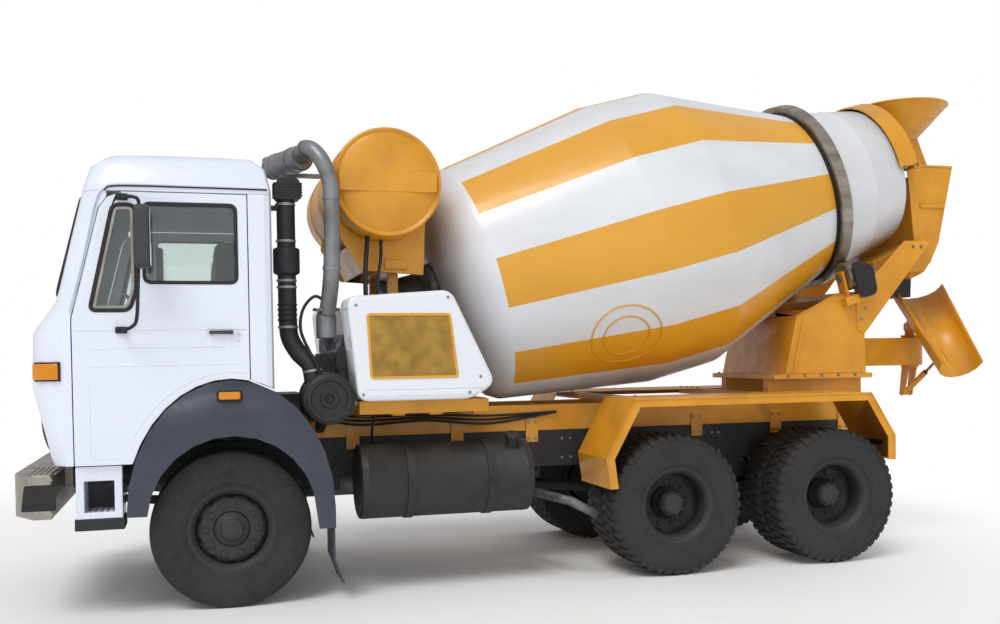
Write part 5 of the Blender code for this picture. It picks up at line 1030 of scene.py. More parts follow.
    def rear_window(self):
        line = rounded([(-0.62, 2.18), (0.62, 2.18), (0.62, 2.62), (-0.62, 2.62)], 0.06, 6)
        bm = bmesh.new()
        tube(bm, [(0.291, y, z) for y, z in line], 0.014, 10, closed=True)
        piece("rear_window_seal", bm, "seal")
        bm = bmesh.new()
        for y in (-0.92, -0.46, 0.0, 0.46, 0.92):
            slab(bm, rounded([(y - 0.012, 1.60), (y + 0.012, 1.60), (y + 0.012, 2.08), (y - 0.012, 2.08)], 0.008),
                 0.288, 0.296, "X")
        piece("rear_wall_ribs", bm, "cab", edge=0.003)


def pad(name, low, high, crown, channels, body="truck"):
    """A stuffed vinyl pad: a crowned top, sides that pull in between the corners, and sewn channels."""
    low, high = Vector(low), Vector(high)
    middle, half = (low + high) / 2, (high - low) / 2
    bm = bmesh.new()
    bmesh.ops.create_cube(bm, size=2.0)
    bmesh.ops.subdivide_edges(bm, edges=bm.edges, cuts=23, use_grid_fill=True)
    for vert in bm.verts:
        p = vert.co.copy()
        roundness = 5.0
        length = (abs(p.x) ** roundness + abs(p.y) ** roundness + abs(p.z) ** roundness) ** (1 / roundness)
        p /= max(length, 1e-6) ** 0.9
        sew = sum(math.exp(-((p.y - c) / 0.045) ** 2) for c in channels)
        swell = 1 - 0.06 * (1 - abs(p.x)) * abs(p.y) ** 6 - 0.03
        thin = 1 + crown * (1 - p.x * p.x) * (1 - p.y * p.y) - 0.16 * sew * max(0.0, 1 - abs(p.x) ** 4)
        vert.co = Vector((p.x * half.x * swell, p.y * half.y * swell, p.z * half.z * 0.86 * thin)) + middle
    obj = piece(name, bm, "seat", body, angle=60)
    return obj


class MIXER_OT_cab_inside(bpy.types.Operator):
    """Seats, dashboard, steering wheel and levers"""
    bl_idname = "mixer.cab_inside"
    bl_label = "Cab Inside"

    def execute(self, context):
        channels = (-0.5, 0.0, 0.5)
        made = []
        for name, side in SIDES:
            near, far = span(side, 0.32, 0.86)
            made.append(pad(f"seat_cushion_{name}", (-0.425, near, 1.850), (0.050, far, 1.990), 0.10, channels))
            upright = pad(f"seat_back_{name}", (-0.085, near, 1.985), (0.185, far, 2.515), 0.0, channels)
            made.append(upright)
        bm = bmesh.new()
        for side in (-1, 1):
            near, far = span(side, 0.36, 0.82)
            slab(bm, rounded([(-0.40, 1.5853), (0.03, 1.5853), (0.05, 1.855), (-0.41, 1.855)], 0.03),
                 near, far)
        slab(bm, rounded([(-0.35, 1.5853), (0.09, 1.5853), (0.09, 1.86), (-0.35, 1.86)], 0.03), -0.31, 0.31)
        base = piece("seat_bases", bm, "plastic", edge=0.008)
        for obj in (*made, base):
            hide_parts("cab_seats")
        dressed("dashboard", "plastic", 0.008, keep=lambda middle: middle.x < -0.829)
        foot, top = Vector((-0.86, 0.59, 1.78)), Vector((-0.60, 0.59, 2.06))
        along = (top - foot).normalized()
        bm = bmesh.new()
        rod(bm, foot, top, 0.024, 24)
        place = facing(top, along)
        ring = [(0.206 + 0.0135 * math.cos(a), 0.0135 * math.sin(a)) for a in
                (2 * math.pi * k / 12 for k in range(12))]
        turned(bm, ring, place, sides=64, closed=True)
        turned(bm, [(0.001, 0.010), (0.030, 0.010), (0.042, 0.0), (0.042, -0.012), (0.001, -0.012)], place, sides=32)
        for k in range(4):
            turn = math.radians(45 + 90 * k)
            tube(bm, [place @ Vector((0.03 * math.cos(turn), 0.03 * math.sin(turn), -0.004)),
                      place @ Vector((0.205 * math.cos(turn), 0.205 * math.sin(turn), 0))], 0.0075, 8)
        piece("steering_wheel", bm, "plastic")
        bm = bmesh.new()
        tube(bm, [(-0.45, 0.10, 1.60), (-0.47, 0.12, 1.80), (-0.50, 0.14, 2.00)], 0.010, 10, smooth=4)
        turned(bm, [(0.001, 0.03), (0.018, 0.024), (0.022, 0.0), (0.014, -0.020), (0.001, -0.022)],
               facing((-0.503, 0.142, 2.01), (0, 0, 1)), sides=24)
        piece("gear_lever", bm, "seal")
        return {"FINISHED"}


# ---------------------------------------------------------------- tanks, pipes and engine covers
class MIXER_OT_intake(bpy.types.Operator):
    """Snorkel with its clamps, air cleaner and fuel tank"""
    bl_idname = "mixer.intake"
    bl_label = "Intake and Fuel Tank"

    def execute(self, context):
        y = -0.95
        bm = bmesh.new()
        tube(bm, [(0.400, y, 2.76), (0.400, y, 2.40), (0.400, y, 2.05), (0.402, y, 1.90), (0.415, y, 1.80),
                  (0.470, y - 0.02, 1.70), (0.540, y - 0.05, 1.62), (0.560, y - 0.07, 1.50)], 0.062, 28, smooth=5)
        upright = Matrix.Translation((0.399, y, 0))
        turned(bm, [(0.060, 2.235), (0.088, 2.250), (0.090, 2.262), (0.090, 2.405), (0.086, 2.418), (0.060, 2.430)],
               upright, sides=40)
        for z in (1.93, 1.965, 2.0, 2.035):
            turned(bm, [(0.060, z - 0.010), (0.070, z), (0.060, z + 0.010)], upright, sides=32)
        cap = rounded([(0.326, 2.750), (0.498, 2.750), (0.506, 2.835), (0.480, 2.898), (0.350, 2.898),
                       (0.322, 2.835)], 0.03)
        slab(bm, cap, y - 0.083, y + 0.083)
        for k in range(5):
            z = 2.772 + 0.020 * k
            slab(bm, [(0.316, z), (0.508, z), (0.508, z + 0.008), (0.316, z + 0.008)], y - 0.088, y + 0.088)
        slab(bm, [(0.2903, 2.68), (0.40, 2.68), (0.40, 2.71), (0.2903, 2.71)], y - 0.03, y + 0.03)
        barrel = facing((0.655, y - 0.18, 1.385), (0, 1, 0))
        turned(bm, [(0.001, 0.012), (0.030, 0.010), (0.034, 0.0), (0.060, -0.002), (0.066, 0.006), (0.120, 0.004),
                    (0.126, -0.006), (0.150, -0.006), (0.158, 0.0), (0.172, 0.004), (0.175, 0.014), (0.175, 0.060),
                    (0.181, 0.064), (0.181, 0.078), (0.175, 0.082), (0.175, 0.300), (0.181, 0.304), (0.181, 0.318),
                    (0.175, 0.322), (0.170, 0.374), (0.150, 0.380), (0.001, 0.380)], barrel, sides=64)
        bolts(bm, [barrel @ Vector((0, 0, -0.006))], (0, -1, 0), 0.014)
        slab(bm, [(-0.4303, 1.11), (-0.4303, 1.17), (-0.80, 1.30), (-0.84, 1.24)], 0.625, 0.685, "X")
        obj = piece("snorkel_and_air_cleaner", bm, "chassis", angle=32)
        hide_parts("air_intake")
        bm = bmesh.new()
        for centre, along in (((0.400, y, 2.20), (0, 0, 1)), ((0.400, y, 2.155), (0, 0, 1)),
                              ((0.404, y, 1.880), (0, 0.02, 1)), ((0.555, y - 0.065, 1.575), (0.15, -0.1, -1)),
                              ((0.3995, y, 2.47), (0, 0, 1)), ((0.3995, y, 2.72), (0, 0, 1))):
            place = facing(centre, along)
            turned(bm, [(0.062, -0.008), (0.0665, -0.008), (0.0665, 0.008), (0.062, 0.008)], place, sides=40, closed=True)
            bolts(bm, [place @ Vector((0.066, 0, 0))], place.to_3x3() @ Vector((1, 0, 0)), 0.006)
        piece("snorkel_clamps", bm, "zinc")
        self.fuel_tank()
        return {"FINISHED"}

    def fuel_tank(self):
        y, z = -0.85, 0.780
        lie = facing((0.87, y, z), (1, 0, 0))
        bm = bmesh.new()
        turned(bm, [(0.001, 0.020), (0.120, 0.014), (0.200, 0.004), (0.246, 0.000), (0.262, 0.008), (0.265, 0.020),
                    (0.265, 0.045), (0.2675, 0.050), (0.265, 0.055), (0.265, 1.195), (0.2675, 1.200), (0.265, 1.205),
                    (0.265, 1.230), (0.262, 1.242), (0.246, 1.250), (0.200, 1.246), (0.120, 1.236), (0.001, 1.230)],
               lie, sides=96)
        for x in (1.22, 1.80):
            turned(bm, [(0.2655, x - 0.90), (0.274, x - 0.898), (0.274, x - 0.842), (0.2655, x - 0.84)], lie, sides=72,
                   closed=True)
            box(bm, (x - 0.045, -0.700, z - 0.10), (x + 0.045, -0.4303, z + 0.22))
            bolts(bm, [(x, y - 0.275, z + 0.0)], (0, -1, 0), 0.012)
        neck = facing((1.98, y - 0.10, z + 0.18), (0, -0.06, 0.135))
        turned(bm, [(0.045, 0.0), (0.045, 0.118), (0.052, 0.120), (0.056, 0.126), (0.056, 0.142), (0.050, 0.150),
                    (0.020, 0.153), (0.001, 0.153)], neck, sides=40)
        obj = piece("fuel_tank_barrel", bm, "chassis", edge=0.0, angle=30)
        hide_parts("fuel_tank")


class MIXER_OT_drum_drive(bpy.types.Operator):
    """Drum engine with its covers and exhaust, and the water tank"""
    bl_idname = "mixer.drum_drive"
    bl_label = "Drum Drive"

    def execute(self, context):
        self.engine()
        self.exhaust()
        self.tank()
        for name, side in SIDES:
            self.cover(name, side)
        dressed("drum_gearbox", "iron")
        dressed("front_pedestal", "mixer", 0.003)
        return {"FINISHED"}

    def engine(self):
        low = 1.3606
        bm = bmesh.new()
        box(bm, (0.740, -0.600, low + 0.10), (1.140, 0.600, 1.560))
        box(bm, (0.770, -0.600, 1.560), (1.110, 0.560, 1.740))
        box(bm, (0.720, -0.500, low), (1.160, 0.500, low + 0.12))
        for k in range(4):
            y = -0.42 + 0.28 * k
            slab(bm, rounded([(0.80, 1.72), (1.08, 1.72), (1.05, 1.845), (0.83, 1.845)], 0.03), y - 0.10, y + 0.10)
        for k in range(11):
            y = -0.50 + 0.10 * k
            box(bm, (0.730, y, 1.44), (1.150, y + 0.020, 1.70))
        turned(bm, [(0.001, 0.0), (0.16, 0.0), (0.17, 0.012), (0.17, 0.05), (0.001, 0.05)],
               facing((0.94, -0.655, 1.56), (0, 1, 0)), sides=48)
        box(bm, (0.645, -0.925, 1.705), (0.735, -0.600, 1.800))
        rod(bm, (0.690, -0.70, 1.752), (0.690, -0.925, 1.752), 0.050, 32)
        obj = piece("drum_engine_block", bm, "iron", edge=0.006)
        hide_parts("drum_engine")

    def exhaust(self):
        bm = bmesh.new()
        start, end = Vector((0.360, -0.250, 3.085)), Vector((0.540, -0.750, 3.085))
        length = (end - start).length
        lie = facing(start, end - start)
        turned(bm, [(0.001, 0.004), (0.050, 0.0), (0.082, 0.004), (0.089, 0.016), (0.090, 0.030), (0.0915, 0.034),
                    (0.090, 0.038), (0.090, length - 0.038), (0.0915, length - 0.034), (0.090, length - 0.030),
                    (0.089, length - 0.016), (0.082, length - 0.004), (0.050, length), (0.001, length)], lie, sides=56)
        for s in (0.12, 0.40):
            turned(bm, [(0.090, s - 0.014), (0.0945, s - 0.014), (0.0945, s + 0.014), (0.090, s + 0.014)], lie,
                   sides=48, closed=True)
        tube(bm, [(0.530, -0.74, 3.09), (0.545, -0.88, 3.120), (0.585, -0.98, 3.10), (0.645, -1.045, 3.01),
                  (0.690, -1.058, 2.88), (0.700, -1.058, 2.70), (0.695, -1.05, 2.30), (0.680, -1.00, 2.08),
                  (0.668, -0.955, 1.985)], 0.056, 28, smooth=7)
        rod(bm, (0.345, -0.215, 3.10), (0.325, -0.150, 3.16), 0.030, 24)
        stand = Matrix.Translation((0.665, -0.92, 0))
        turned(bm, [(0.056, 1.800), (0.068, 1.806), (0.070, 1.815), (0.070, 1.950), (0.064, 1.968), (0.058, 1.985),
                    (0.001, 1.990)], stand, sides=40)
        turned(bm, [(0.001, 2.008), (0.092, 2.008), (0.092, 1.992), (0.001, 1.992)], stand, sides=40)
        bolts(bm, ring_of(6, 0.078, stand, 2.008), (0, 0, 1), 0.008)
        for centre, along in (((0.694, -1.0495, 2.28), (-0.01, 0.06, -1)), ((0.699, -1.058, 2.76), (0, 0, -1)),
                              ((0.549, -0.90, 3.118), (0.25, -1, -0.1))):
            turned(bm, [(0.056, -0.012), (0.0615, -0.012), (0.0615, 0.012), (0.056, 0.012)], facing(centre, along),
                   sides=40, closed=True)
        slab(bm, [(0.42, 2.985), (0.730, 2.985), (0.730, 3.015), (0.42, 3.015)], -0.49, -0.45)
        obj = piece("drum_exhaust", bm, "exhaust", angle=32)
        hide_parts("drum_engine")

    def tank(self):
        x, z, radius, half = 1.110, 2.900, 0.385, 0.980
        lie = facing((x, -half, z), (0, 1, 0))
        end = [(0.001, -0.008), (0.150, -0.006), (0.260, 0.002), (0.330, 0.016), (0.350, 0.026), (0.356, 0.022),
               (0.372, 0.016), (0.381, 0.020), (0.385, 0.030)]
        seam = [(0.385, 0.300), (0.388, 0.306), (0.385, 0.312), (0.385, 0.960), (0.388, 0.966), (0.385, 0.972)]
        whole = end + seam + [(0.385, 1.640), (0.388, 1.646), (0.385, 1.652)]
        whole += [(r, 2 * half - s) for r, s in end[::-1]]
        bm = bmesh.new()
        turned(bm, whole, lie, sides=112)
        rod(bm, (x, -0.20, z + radius - 0.01), (x, -0.20, z + radius + 0.028), 0.085, 40)
        rod(bm, (x, -0.20, z + radius + 0.026), (x, -0.20, z + radius + 0.040), 0.097, 40)
        obj = piece("water_tank_barrel", bm, "mixer", angle=30)
        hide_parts("water_tank")
        bm = bmesh.new()
        reach = [math.radians(a) for a in range(-10, 11, 2)]
        line = [(x + 0.352 * k / 10, 0.0) for k in range(-10, 11)]
        slab(bm, rounded([(x - 0.345, z - 0.072), (x + 0.345, z - 0.072), (x + 0.345, z + 0.072), (x - 0.345, z + 0.072)],
                         0.010), -half - 0.010, -half + 0.010)
        piece("water_tank_band", bm, "mixer", edge=0.003)
        bm = bmesh.new()
        for y in (-0.611, 0.611):
            turned(bm, [(radius + 0.001, y + half - 0.020), (radius + 0.006, y + half - 0.020),
                        (radius + 0.006, y + half + 0.020), (radius + 0.001, y + half + 0.020)], lie, sides=96, closed=True)
        piece("water_tank_straps", bm, "mixer")
        bm = bmesh.new()
        tube(bm, [(0.98, -0.80, 2.53), (0.97, -0.82, 2.42), (0.955, -0.86, 2.30), (0.95, -0.88, 2.16),
                  (0.96, -0.86, 2.05), (1.0, -0.82, 1.95)], 0.017, 14, smooth=6)
        tube(bm, [(1.08, -0.78, 2.51), (1.075, -0.80, 2.38), (1.05, -0.83, 2.25), (1.04, -0.85, 2.12),
                  (1.06, -0.84, 2.03)], 0.012, 12, smooth=6)
        tube(bm, [(0.66, -0.98, 2.05), (0.58, -1.00, 2.09), (0.50, -1.00, 2.00), (0.48, -1.02, 1.86),
                  (0.53, -1.05, 1.72), (0.58, -1.08, 1.62), (0.60, -1.08, 1.55)], 0.011, 12, smooth=6)
        piece("water_and_fuel_hoses", bm, "seal")

    def cover(self, name, side):
        outline = [(0.845, 1.362), (1.640, 1.362), (1.815, 1.470), (1.500, 2.130), (0.770, 2.080)]
        bm = bmesh.new()
        slab(bm, rounded(outline, 0.075, 6), *span(side, 0.80, 1.198))
        obj = piece(f"engine_cover_{name}_moulding", bm, "cover", edge=0.030)
        obj.modifiers["edge"].segments = 4
        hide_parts(f"engine_cover_{name}")
        window = rounded([(0.925, 1.515), (1.545, 1.515), (1.490, 1.965), (0.905, 1.965)], 0.030)
        bm = bmesh.new()
        slab(bm, shifted(window, -0.004), *span(side, 1.190, 1.2005))
        piece(f"cover_grille_{name}", bm, "mesh")
        bm = bmesh.new()
        frame_of(bm, shifted(window, -0.018), window, *span(side, 1.192, 1.2055))
        piece(f"cover_grille_frame_{name}", bm, "stripe", edge=0.002)
        bm = bmesh.new()
        low = rounded([(0.900, 1.395), (1.690, 1.395), (1.725, 1.445), (0.890, 1.445)], 0.014)
        frame_of(bm, shifted(low, -0.006), low, *span(side, 1.197, 1.2005))
        piece(f"cover_crease_{name}", bm, "cover", edge=0.002)
        bm = bmesh.new()
        bolts(bm, [(px, side * 1.1985, pz) for px, pz in ((0.875, 1.41), (1.62, 1.41), (0.835, 2.02), (1.475, 2.075),
                                                          (1.70, 1.52))], (0, side, 0), 0.008)
        piece(f"cover_bolts_{name}", bm, "bolt")


# ---------------------------------------------------------------- rear steelwork and hoppers
class MIXER_OT_hoppers(bpy.types.Operator):
    """Loading funnel and discharge hopper with their lips, collar and stays"""
    bl_idname = "mixer.hoppers"
    bl_label = "Hoppers"

    def execute(self, context):
        self.funnel()
        dressed("discharge_hopper", "mixer", 0.003)
        self.hopper_trim()
        self.pedestal_trim()
        return {"FINISHED"}

    def funnel(self):
        rings = [(CAD_BOX_END - 0.400, 3.860, 0.400, 0.460, 0.0), (5.860, 3.520, 0.190, 0.230, 0.15),
                 (5.560, 3.260, 0.150, 0.160, 0.9)]
        sides = 80
        bm = bmesh.new()
        loops = []
        for inset in (0.0, 0.008):
            for x, z, radius_x, radius_y, lean in (rings if not inset else rings[::-1]):
                loop = []
                for i in range(sides):
                    turn = 2 * math.pi * i / sides
                    along = (radius_x - inset) * math.cos(turn)
                    loop.append(bm.verts.new((x + along * math.cos(lean), (radius_y - inset) * math.sin(turn),
                                              z - along * math.sin(lean))))
                loops.append(loop)
        for upper, lower in zip(loops, loops[1:] + loops[:1]):
            for i in range(sides):
                j = (i + 1) % sides
                bm.faces.new((upper[i], upper[j], lower[j], lower[i]))
        for side in (-1, 1):
            slab(bm, [(5.900, 3.540), (6.020, 3.640), (6.180, 3.2625), (6.080, 3.2625)], *span(side, 0.185, 0.200))
        obj = piece("loading_funnel", bm, "mixer", angle=28)
        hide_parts("charge_hopper")
        bm = bmesh.new()
        x, z, radius_x, radius_y, lean = rings[0]
        tube(bm, [(x + (radius_x - 0.006) * math.cos(t), (radius_y - 0.006) * math.sin(t), z + 0.004)
                  for t in (2 * math.pi * k / 96 for k in range(96))], 0.011, 10, closed=True)
        x, z, radius_x, radius_y, lean = rings[1]
        tube(bm, [(x + radius_x * math.cos(t) * math.cos(lean), radius_y * math.sin(t),
                   z - radius_x * math.cos(t) * math.sin(lean)) for t in (2 * math.pi * k / 96 for k in range(96))],
             0.007, 8, closed=True)
        piece("loading_funnel_lip", bm, "mixer")

    def hopper_trim(self):
        bm = bmesh.new()
        for side in (-1, 1):
            tube(bm, [(5.735, side * 0.499, 3.262), (6.178, side * 0.499, 3.262)], 0.010, 10)
            tube(bm, [(6.179, side * 0.499, 3.255), (6.056, side * 0.469, 2.60), (5.995, side * 0.430, 2.42)], 0.006, 8)
            near, far = span(side, 0.452, 0.500)
            slab(bm, [(5.86, 2.90), (6.10, 2.90), (6.10, 2.935), (5.86, 2.935)], near, far)
        tube(bm, [(6.179, -0.499, 3.262), (6.179, 0.499, 3.262)], 0.010, 10)
        for height in (2.86, 3.06):
            x = 6.055 + (height - 2.60) * 0.1894
            slab(bm, [(x - 0.004, height), (x + 0.020, height), (x + 0.020, height + 0.012), (x - 0.004, height + 0.012)],
                 -0.46, 0.46)
        piece("discharge_hopper_ribs", bm, "mixer", edge=0.002)
        bm = bmesh.new()
        for side in (-1, 1):
            turned_at = drum_matrix() @ Matrix.Rotation(side * math.pi / 2 + (0 if side > 0 else 0), 4, "Z")
            bolts(bm, [turned_at @ Vector((0.656, 0.0, 3.79))], turned_at.to_3x3() @ Vector((1, 0, 0)), 0.014)
            bolts(bm, [(5.7175, side * 0.652, 3.245)], (0, side, 0), 0.013)
        piece("collar_bolts", bm, "bolt")
        bm = bmesh.new()
        near_line = [(5.775, 2.300), (5.965, 2.300), (5.955, 2.135), (5.790, 2.135)]
        for side in (-1, 1):
            slab(bm, near_line, *span(side, 0.196, 0.203))
        slab(bm, [(5.966, 2.310), (5.973, 2.310), (5.965, 2.135), (5.958, 2.135)], -0.203, 0.203)
        piece("outlet_flaps", bm, "seal", edge=0.002)

    def pedestal_trim(self):
        dressed("rear_pedestal", "mixer", 0.003)
        bm = bmesh.new()
        for side in (-1, 1):
            y = side * 0.571
            bolts(bm, [(x, side * 0.570, 1.458) for x in (4.50, 4.66, 4.82, 4.98, 5.14)], (0, side, 0), 0.011)
            bolts(bm, [(5.20, y, 1.93), (5.24, y, 2.02)], (0, side, 0), 0.015)
            bolts(bm, [(5.80, side * 0.581, 2.55), (5.72, side * 0.581, 2.55)], (0, side, 0), 0.012)
            for x in (4.42, 4.60, 4.95, 5.25):
                bolts(bm, [(x, side * 0.535, 1.4709)], (0, 0, 1), 0.012)
        piece("pedestal_bolts", bm, "bolt")
        bm = bmesh.new()
        for side in (-1, 1):
            slab(bm, rounded([(5.020, 2.405), (5.235, 2.385), (5.285, 2.140), (5.120, 2.095)], 0.06, 5),
                 *span(side, 0.690, 0.705))
            tube(bm, [(5.14, side * 0.57, 2.06), (5.15, side * 0.66, 2.12), (5.15, side * 0.697, 2.20)], 0.012, 8)
        piece("roller_guards", bm, "seal", edge=0.004)
        bm = bmesh.new()
        for side in (-1, 1):
            slab(bm, rounded([(4.54, 1.49), (4.575, 1.49), (4.675, 1.93), (4.64, 1.94)], 0.008),
                 *span(side, 0.568, 0.578))
            for x0, z0, x1, z1 in ((4.50, 1.482, 5.22, 1.482), (4.60, 1.962, 4.93, 2.122), (4.94, 2.132, 5.14, 2.132)):
                tube(bm, [(x0, side * 0.571, z0), (x1, side * 0.571, z1)], 0.006, 8)
        piece("pedestal_welds", bm, "mixer")


class MIXER_OT_rear_fittings(bpy.types.Operator):
    """Mudguard lips, subframe clamps, tie bolts, tail lamps, blank plates, bumper trim and hydraulic hoses"""
    bl_idname = "mixer.rear_fittings"
    bl_label = "Rear Fittings"

    def execute(self, context):
        bm = bmesh.new()
        for side in (-1, 1):
            y = side * 1.2335
            line = [(2.657, 0.682), (2.628, 0.900), (2.857, 1.327), (4.848, 1.327), (5.057, 0.990), (5.057, 0.802)]
            tube(bm, [(x, y, z) for x, z in line], 0.0075, 8)
            tube(bm, [(2.657, side * 0.602, 0.682), (2.657, y, 0.682)], 0.0075, 8)
            tube(bm, [(5.057, side * 0.602, 0.802), (5.057, y, 0.802)], 0.0075, 8)
            for x in (3.05, 4.30):
                bolts(bm, [(x, side * (0.75 + 0.12 * k), 1.330) for k in range(4)], (0, 0, 1), 0.012)
        piece("mudguard_lips", bm, "mixer")
        bm = bmesh.new()
        for x in (0.90, 1.70, 2.30, 3.00, 3.72, 4.45, 5.10):
            for side in (-1, 1):
                near, far = span(side, 0.4303, 0.446)
                slab(bm, rounded([(x - 0.05, 0.98), (x + 0.05, 0.98), (x + 0.05, 1.17), (x - 0.05, 1.17)], 0.012),
                     near, far)
        piece("subframe_clamps", bm, "mixer", edge=0.003)
        bm = bmesh.new()
        for x in (0.90, 1.70, 2.30, 3.00, 3.72, 4.45, 5.10):
            for side in (-1, 1):
                bolts(bm, [(x + dx, side * 0.446, z) for dx in (-0.028, 0.028) for z in (1.010, 1.140)],
                      (0, side, 0), 0.010)
        for x in (-0.9, -0.6, 2.55, 2.62, 3.86, 3.92, 5.22):
            for side in (-1, 1):
                bolts(bm, [(x, side * 0.4303, z) for z in (0.85, 1.00)], (0, side, 0), 0.009)
        piece("frame_bolts", bm, "bolt")
        self.lamps()
        self.hoses()
        return {"FINISHED"}

    def lamps(self):
        reds, bases = bmesh.new(), bmesh.new()
        for side in (-1, 1):
            near, far = sorted((side * 0.80, side * 1.08))
            slab(bases, rounded([(near, 0.86), (far, 0.86), (far, 0.98), (near, 0.98)], 0.014), 5.066, 5.082, "X")
            slab(bases, [(near, 0.90), (far, 0.90), (far, 0.94), (near, 0.94)], 5.050, 5.070, "X")
            for k, width in ((0, 0.085), (1, 0.085), (2, 0.085)):
                start = near + 0.010 + 0.088 * k
                slab(reds, rounded([(start, 0.872), (start + width, 0.872), (start + width, 0.968), (start, 0.968)],
                                   0.010), 5.081, 5.098, "X")
        piece("tail_lamp_bases", bases, "seal", edge=0.003)
        piece("tail_lamp_lenses", reds, "red", edge=0.004)
        bm = bmesh.new()
        slab(bm, rounded([(-0.26, 0.86), (0.26, 0.86), (0.26, 0.97), (-0.26, 0.97)], 0.012), 5.3405, 5.3445, "X")
        slab(bm, rounded([(-0.26, 0.70), (0.26, 0.70), (0.26, 0.81), (-0.26, 0.81)], 0.012), -1.3440, -1.3402, "X")
        piece("blank_plates", bm, "cover", edge=0.001)
        self.bumper()

    def bumper(self):
        """Flat black plates as painted shade in the recesses of the bumper's ends and front, the plate on its top and
        its bolts.
        """
        low, high = cad("front_bumper")
        dark, bright = bmesh.new(), bmesh.new()
        for side in (-1, 1):
            y = side * (high.y - 0.0015)
            # Painted shade: a flat black plate stands for the shade inside the recess at the bumper's end.
            slab(dark, rounded([(high.x - 0.235, low.z + 0.055), (high.x - 0.030, low.z + 0.055),
                                (high.x - 0.030, high.z - 0.060), (high.x - 0.215, high.z - 0.060)], 0.015),
                 *sorted((y, y + side * 0.004)))
            for x in (high.x - 0.215, high.x - 0.060):
                bolts(bright, [(x, y, low.z + 0.030), (x, y, high.z - 0.030)], (0, side, 0), 0.009)
            for k in range(6):
                x = high.x - 0.205 + 0.032 * k
                slab(bright, [(x, high.z - 0.001), (x + 0.012, high.z - 0.001), (x + 0.012, high.z + 0.005),
                              (x, high.z + 0.005)], *span(side, 0.62, high.y - 0.05))
            # Painted shade: a shallow black dish stands for the shade of a recess in the bumper's front.
            turned(dark, [(0.001, 0.0), (0.052, 0.0), (0.060, 0.008), (0.052, 0.012), (0.046, 0.006), (0.001, 0.004)],
                   facing((low.x + 0.002, side * 0.62, (low.z + high.z) / 2), (-1, 0, 0)), sides=40)
        piece("bumper_recess_painted_shade", dark, "seal", edge=0.001)
        piece("bumper_treads", bright, "zinc", edge=0.001)

    def hoses(self):
        bm = bmesh.new()
        for y, sag in ((-0.445, 0.0), (-0.462, -0.03), (-0.452, 0.03)):
            tube(bm, [(0.62, y, 1.24 + sag * 0.4), (0.95, y - 0.01, 1.19 + sag), (1.45, y - 0.015, 1.20 + sag * 0.7),
                      (1.95, y - 0.01, 1.17 + sag), (2.50, y, 1.215)], 0.009, 10, smooth=6)
        tube(bm, [(1.40, -0.56, 1.36), (1.46, -0.62, 1.29), (1.58, -0.60, 1.25), (1.75, -0.56, 1.255),
                  (1.86, -0.50, 1.27)], 0.013, 12, smooth=6)
        tube(bm, [(1.05, -0.70, 1.365), (1.02, -0.74, 1.25), (1.00, -0.72, 1.12), (1.02, -0.60, 1.04)], 0.010, 12,
             smooth=6)
        piece("hydraulic_hoses", bm, "seal")


# ---------------------------------------------------------------- plain finishes for the rest
PLAIN = {
    "chassis_frame": ("chassis", 0.003), "mixer_subframe": ("mixer", 0.004), "front_axle": ("chassis", 0.004),
    "drive_axles": ("chassis", 0.0), "engine_and_exhaust": ("iron", 0.0),
    "front_mudguard_left": ("mudguard", 0.0), "front_mudguard_right": ("mudguard", 0.0),
    "rear_mudguards": ("mixer", 0.0),
    "front_bumper": ("zinc", 0.006), "steering_knuckle_left": ("iron", 0.0),
    "steering_knuckle_right": ("iron", 0.0), "chute_swivel": ("mixer", 0.002), "discharge_chute": ("mixer", 0.0),
    "chute_ram_barrel": ("mixer", 0.0), "chute_ram_rod": ("chrome", 0.0),
}


# Folded sheet keeps its folds sharp, and rolled sheet and bent tube are smooth.
SMOOTH_ANGLE = {"rear_mudguards": 10, "discharge_chute": 55, "engine_and_exhaust": 55}


class MIXER_OT_sheetwork(bpy.types.Operator):
    """Rounded edges and paint for the frame, axles, engine, mudguards, bumper, chute and mixer steelwork"""
    bl_idname = "mixer.sheetwork"
    bl_label = "Sheetwork"

    def execute(self, context):
        for node, (finish, edge) in PLAIN.items():
            dressed(node, finish, edge, SMOOTH_ANGLE.get(node, 35))
        return {"FINISHED"}


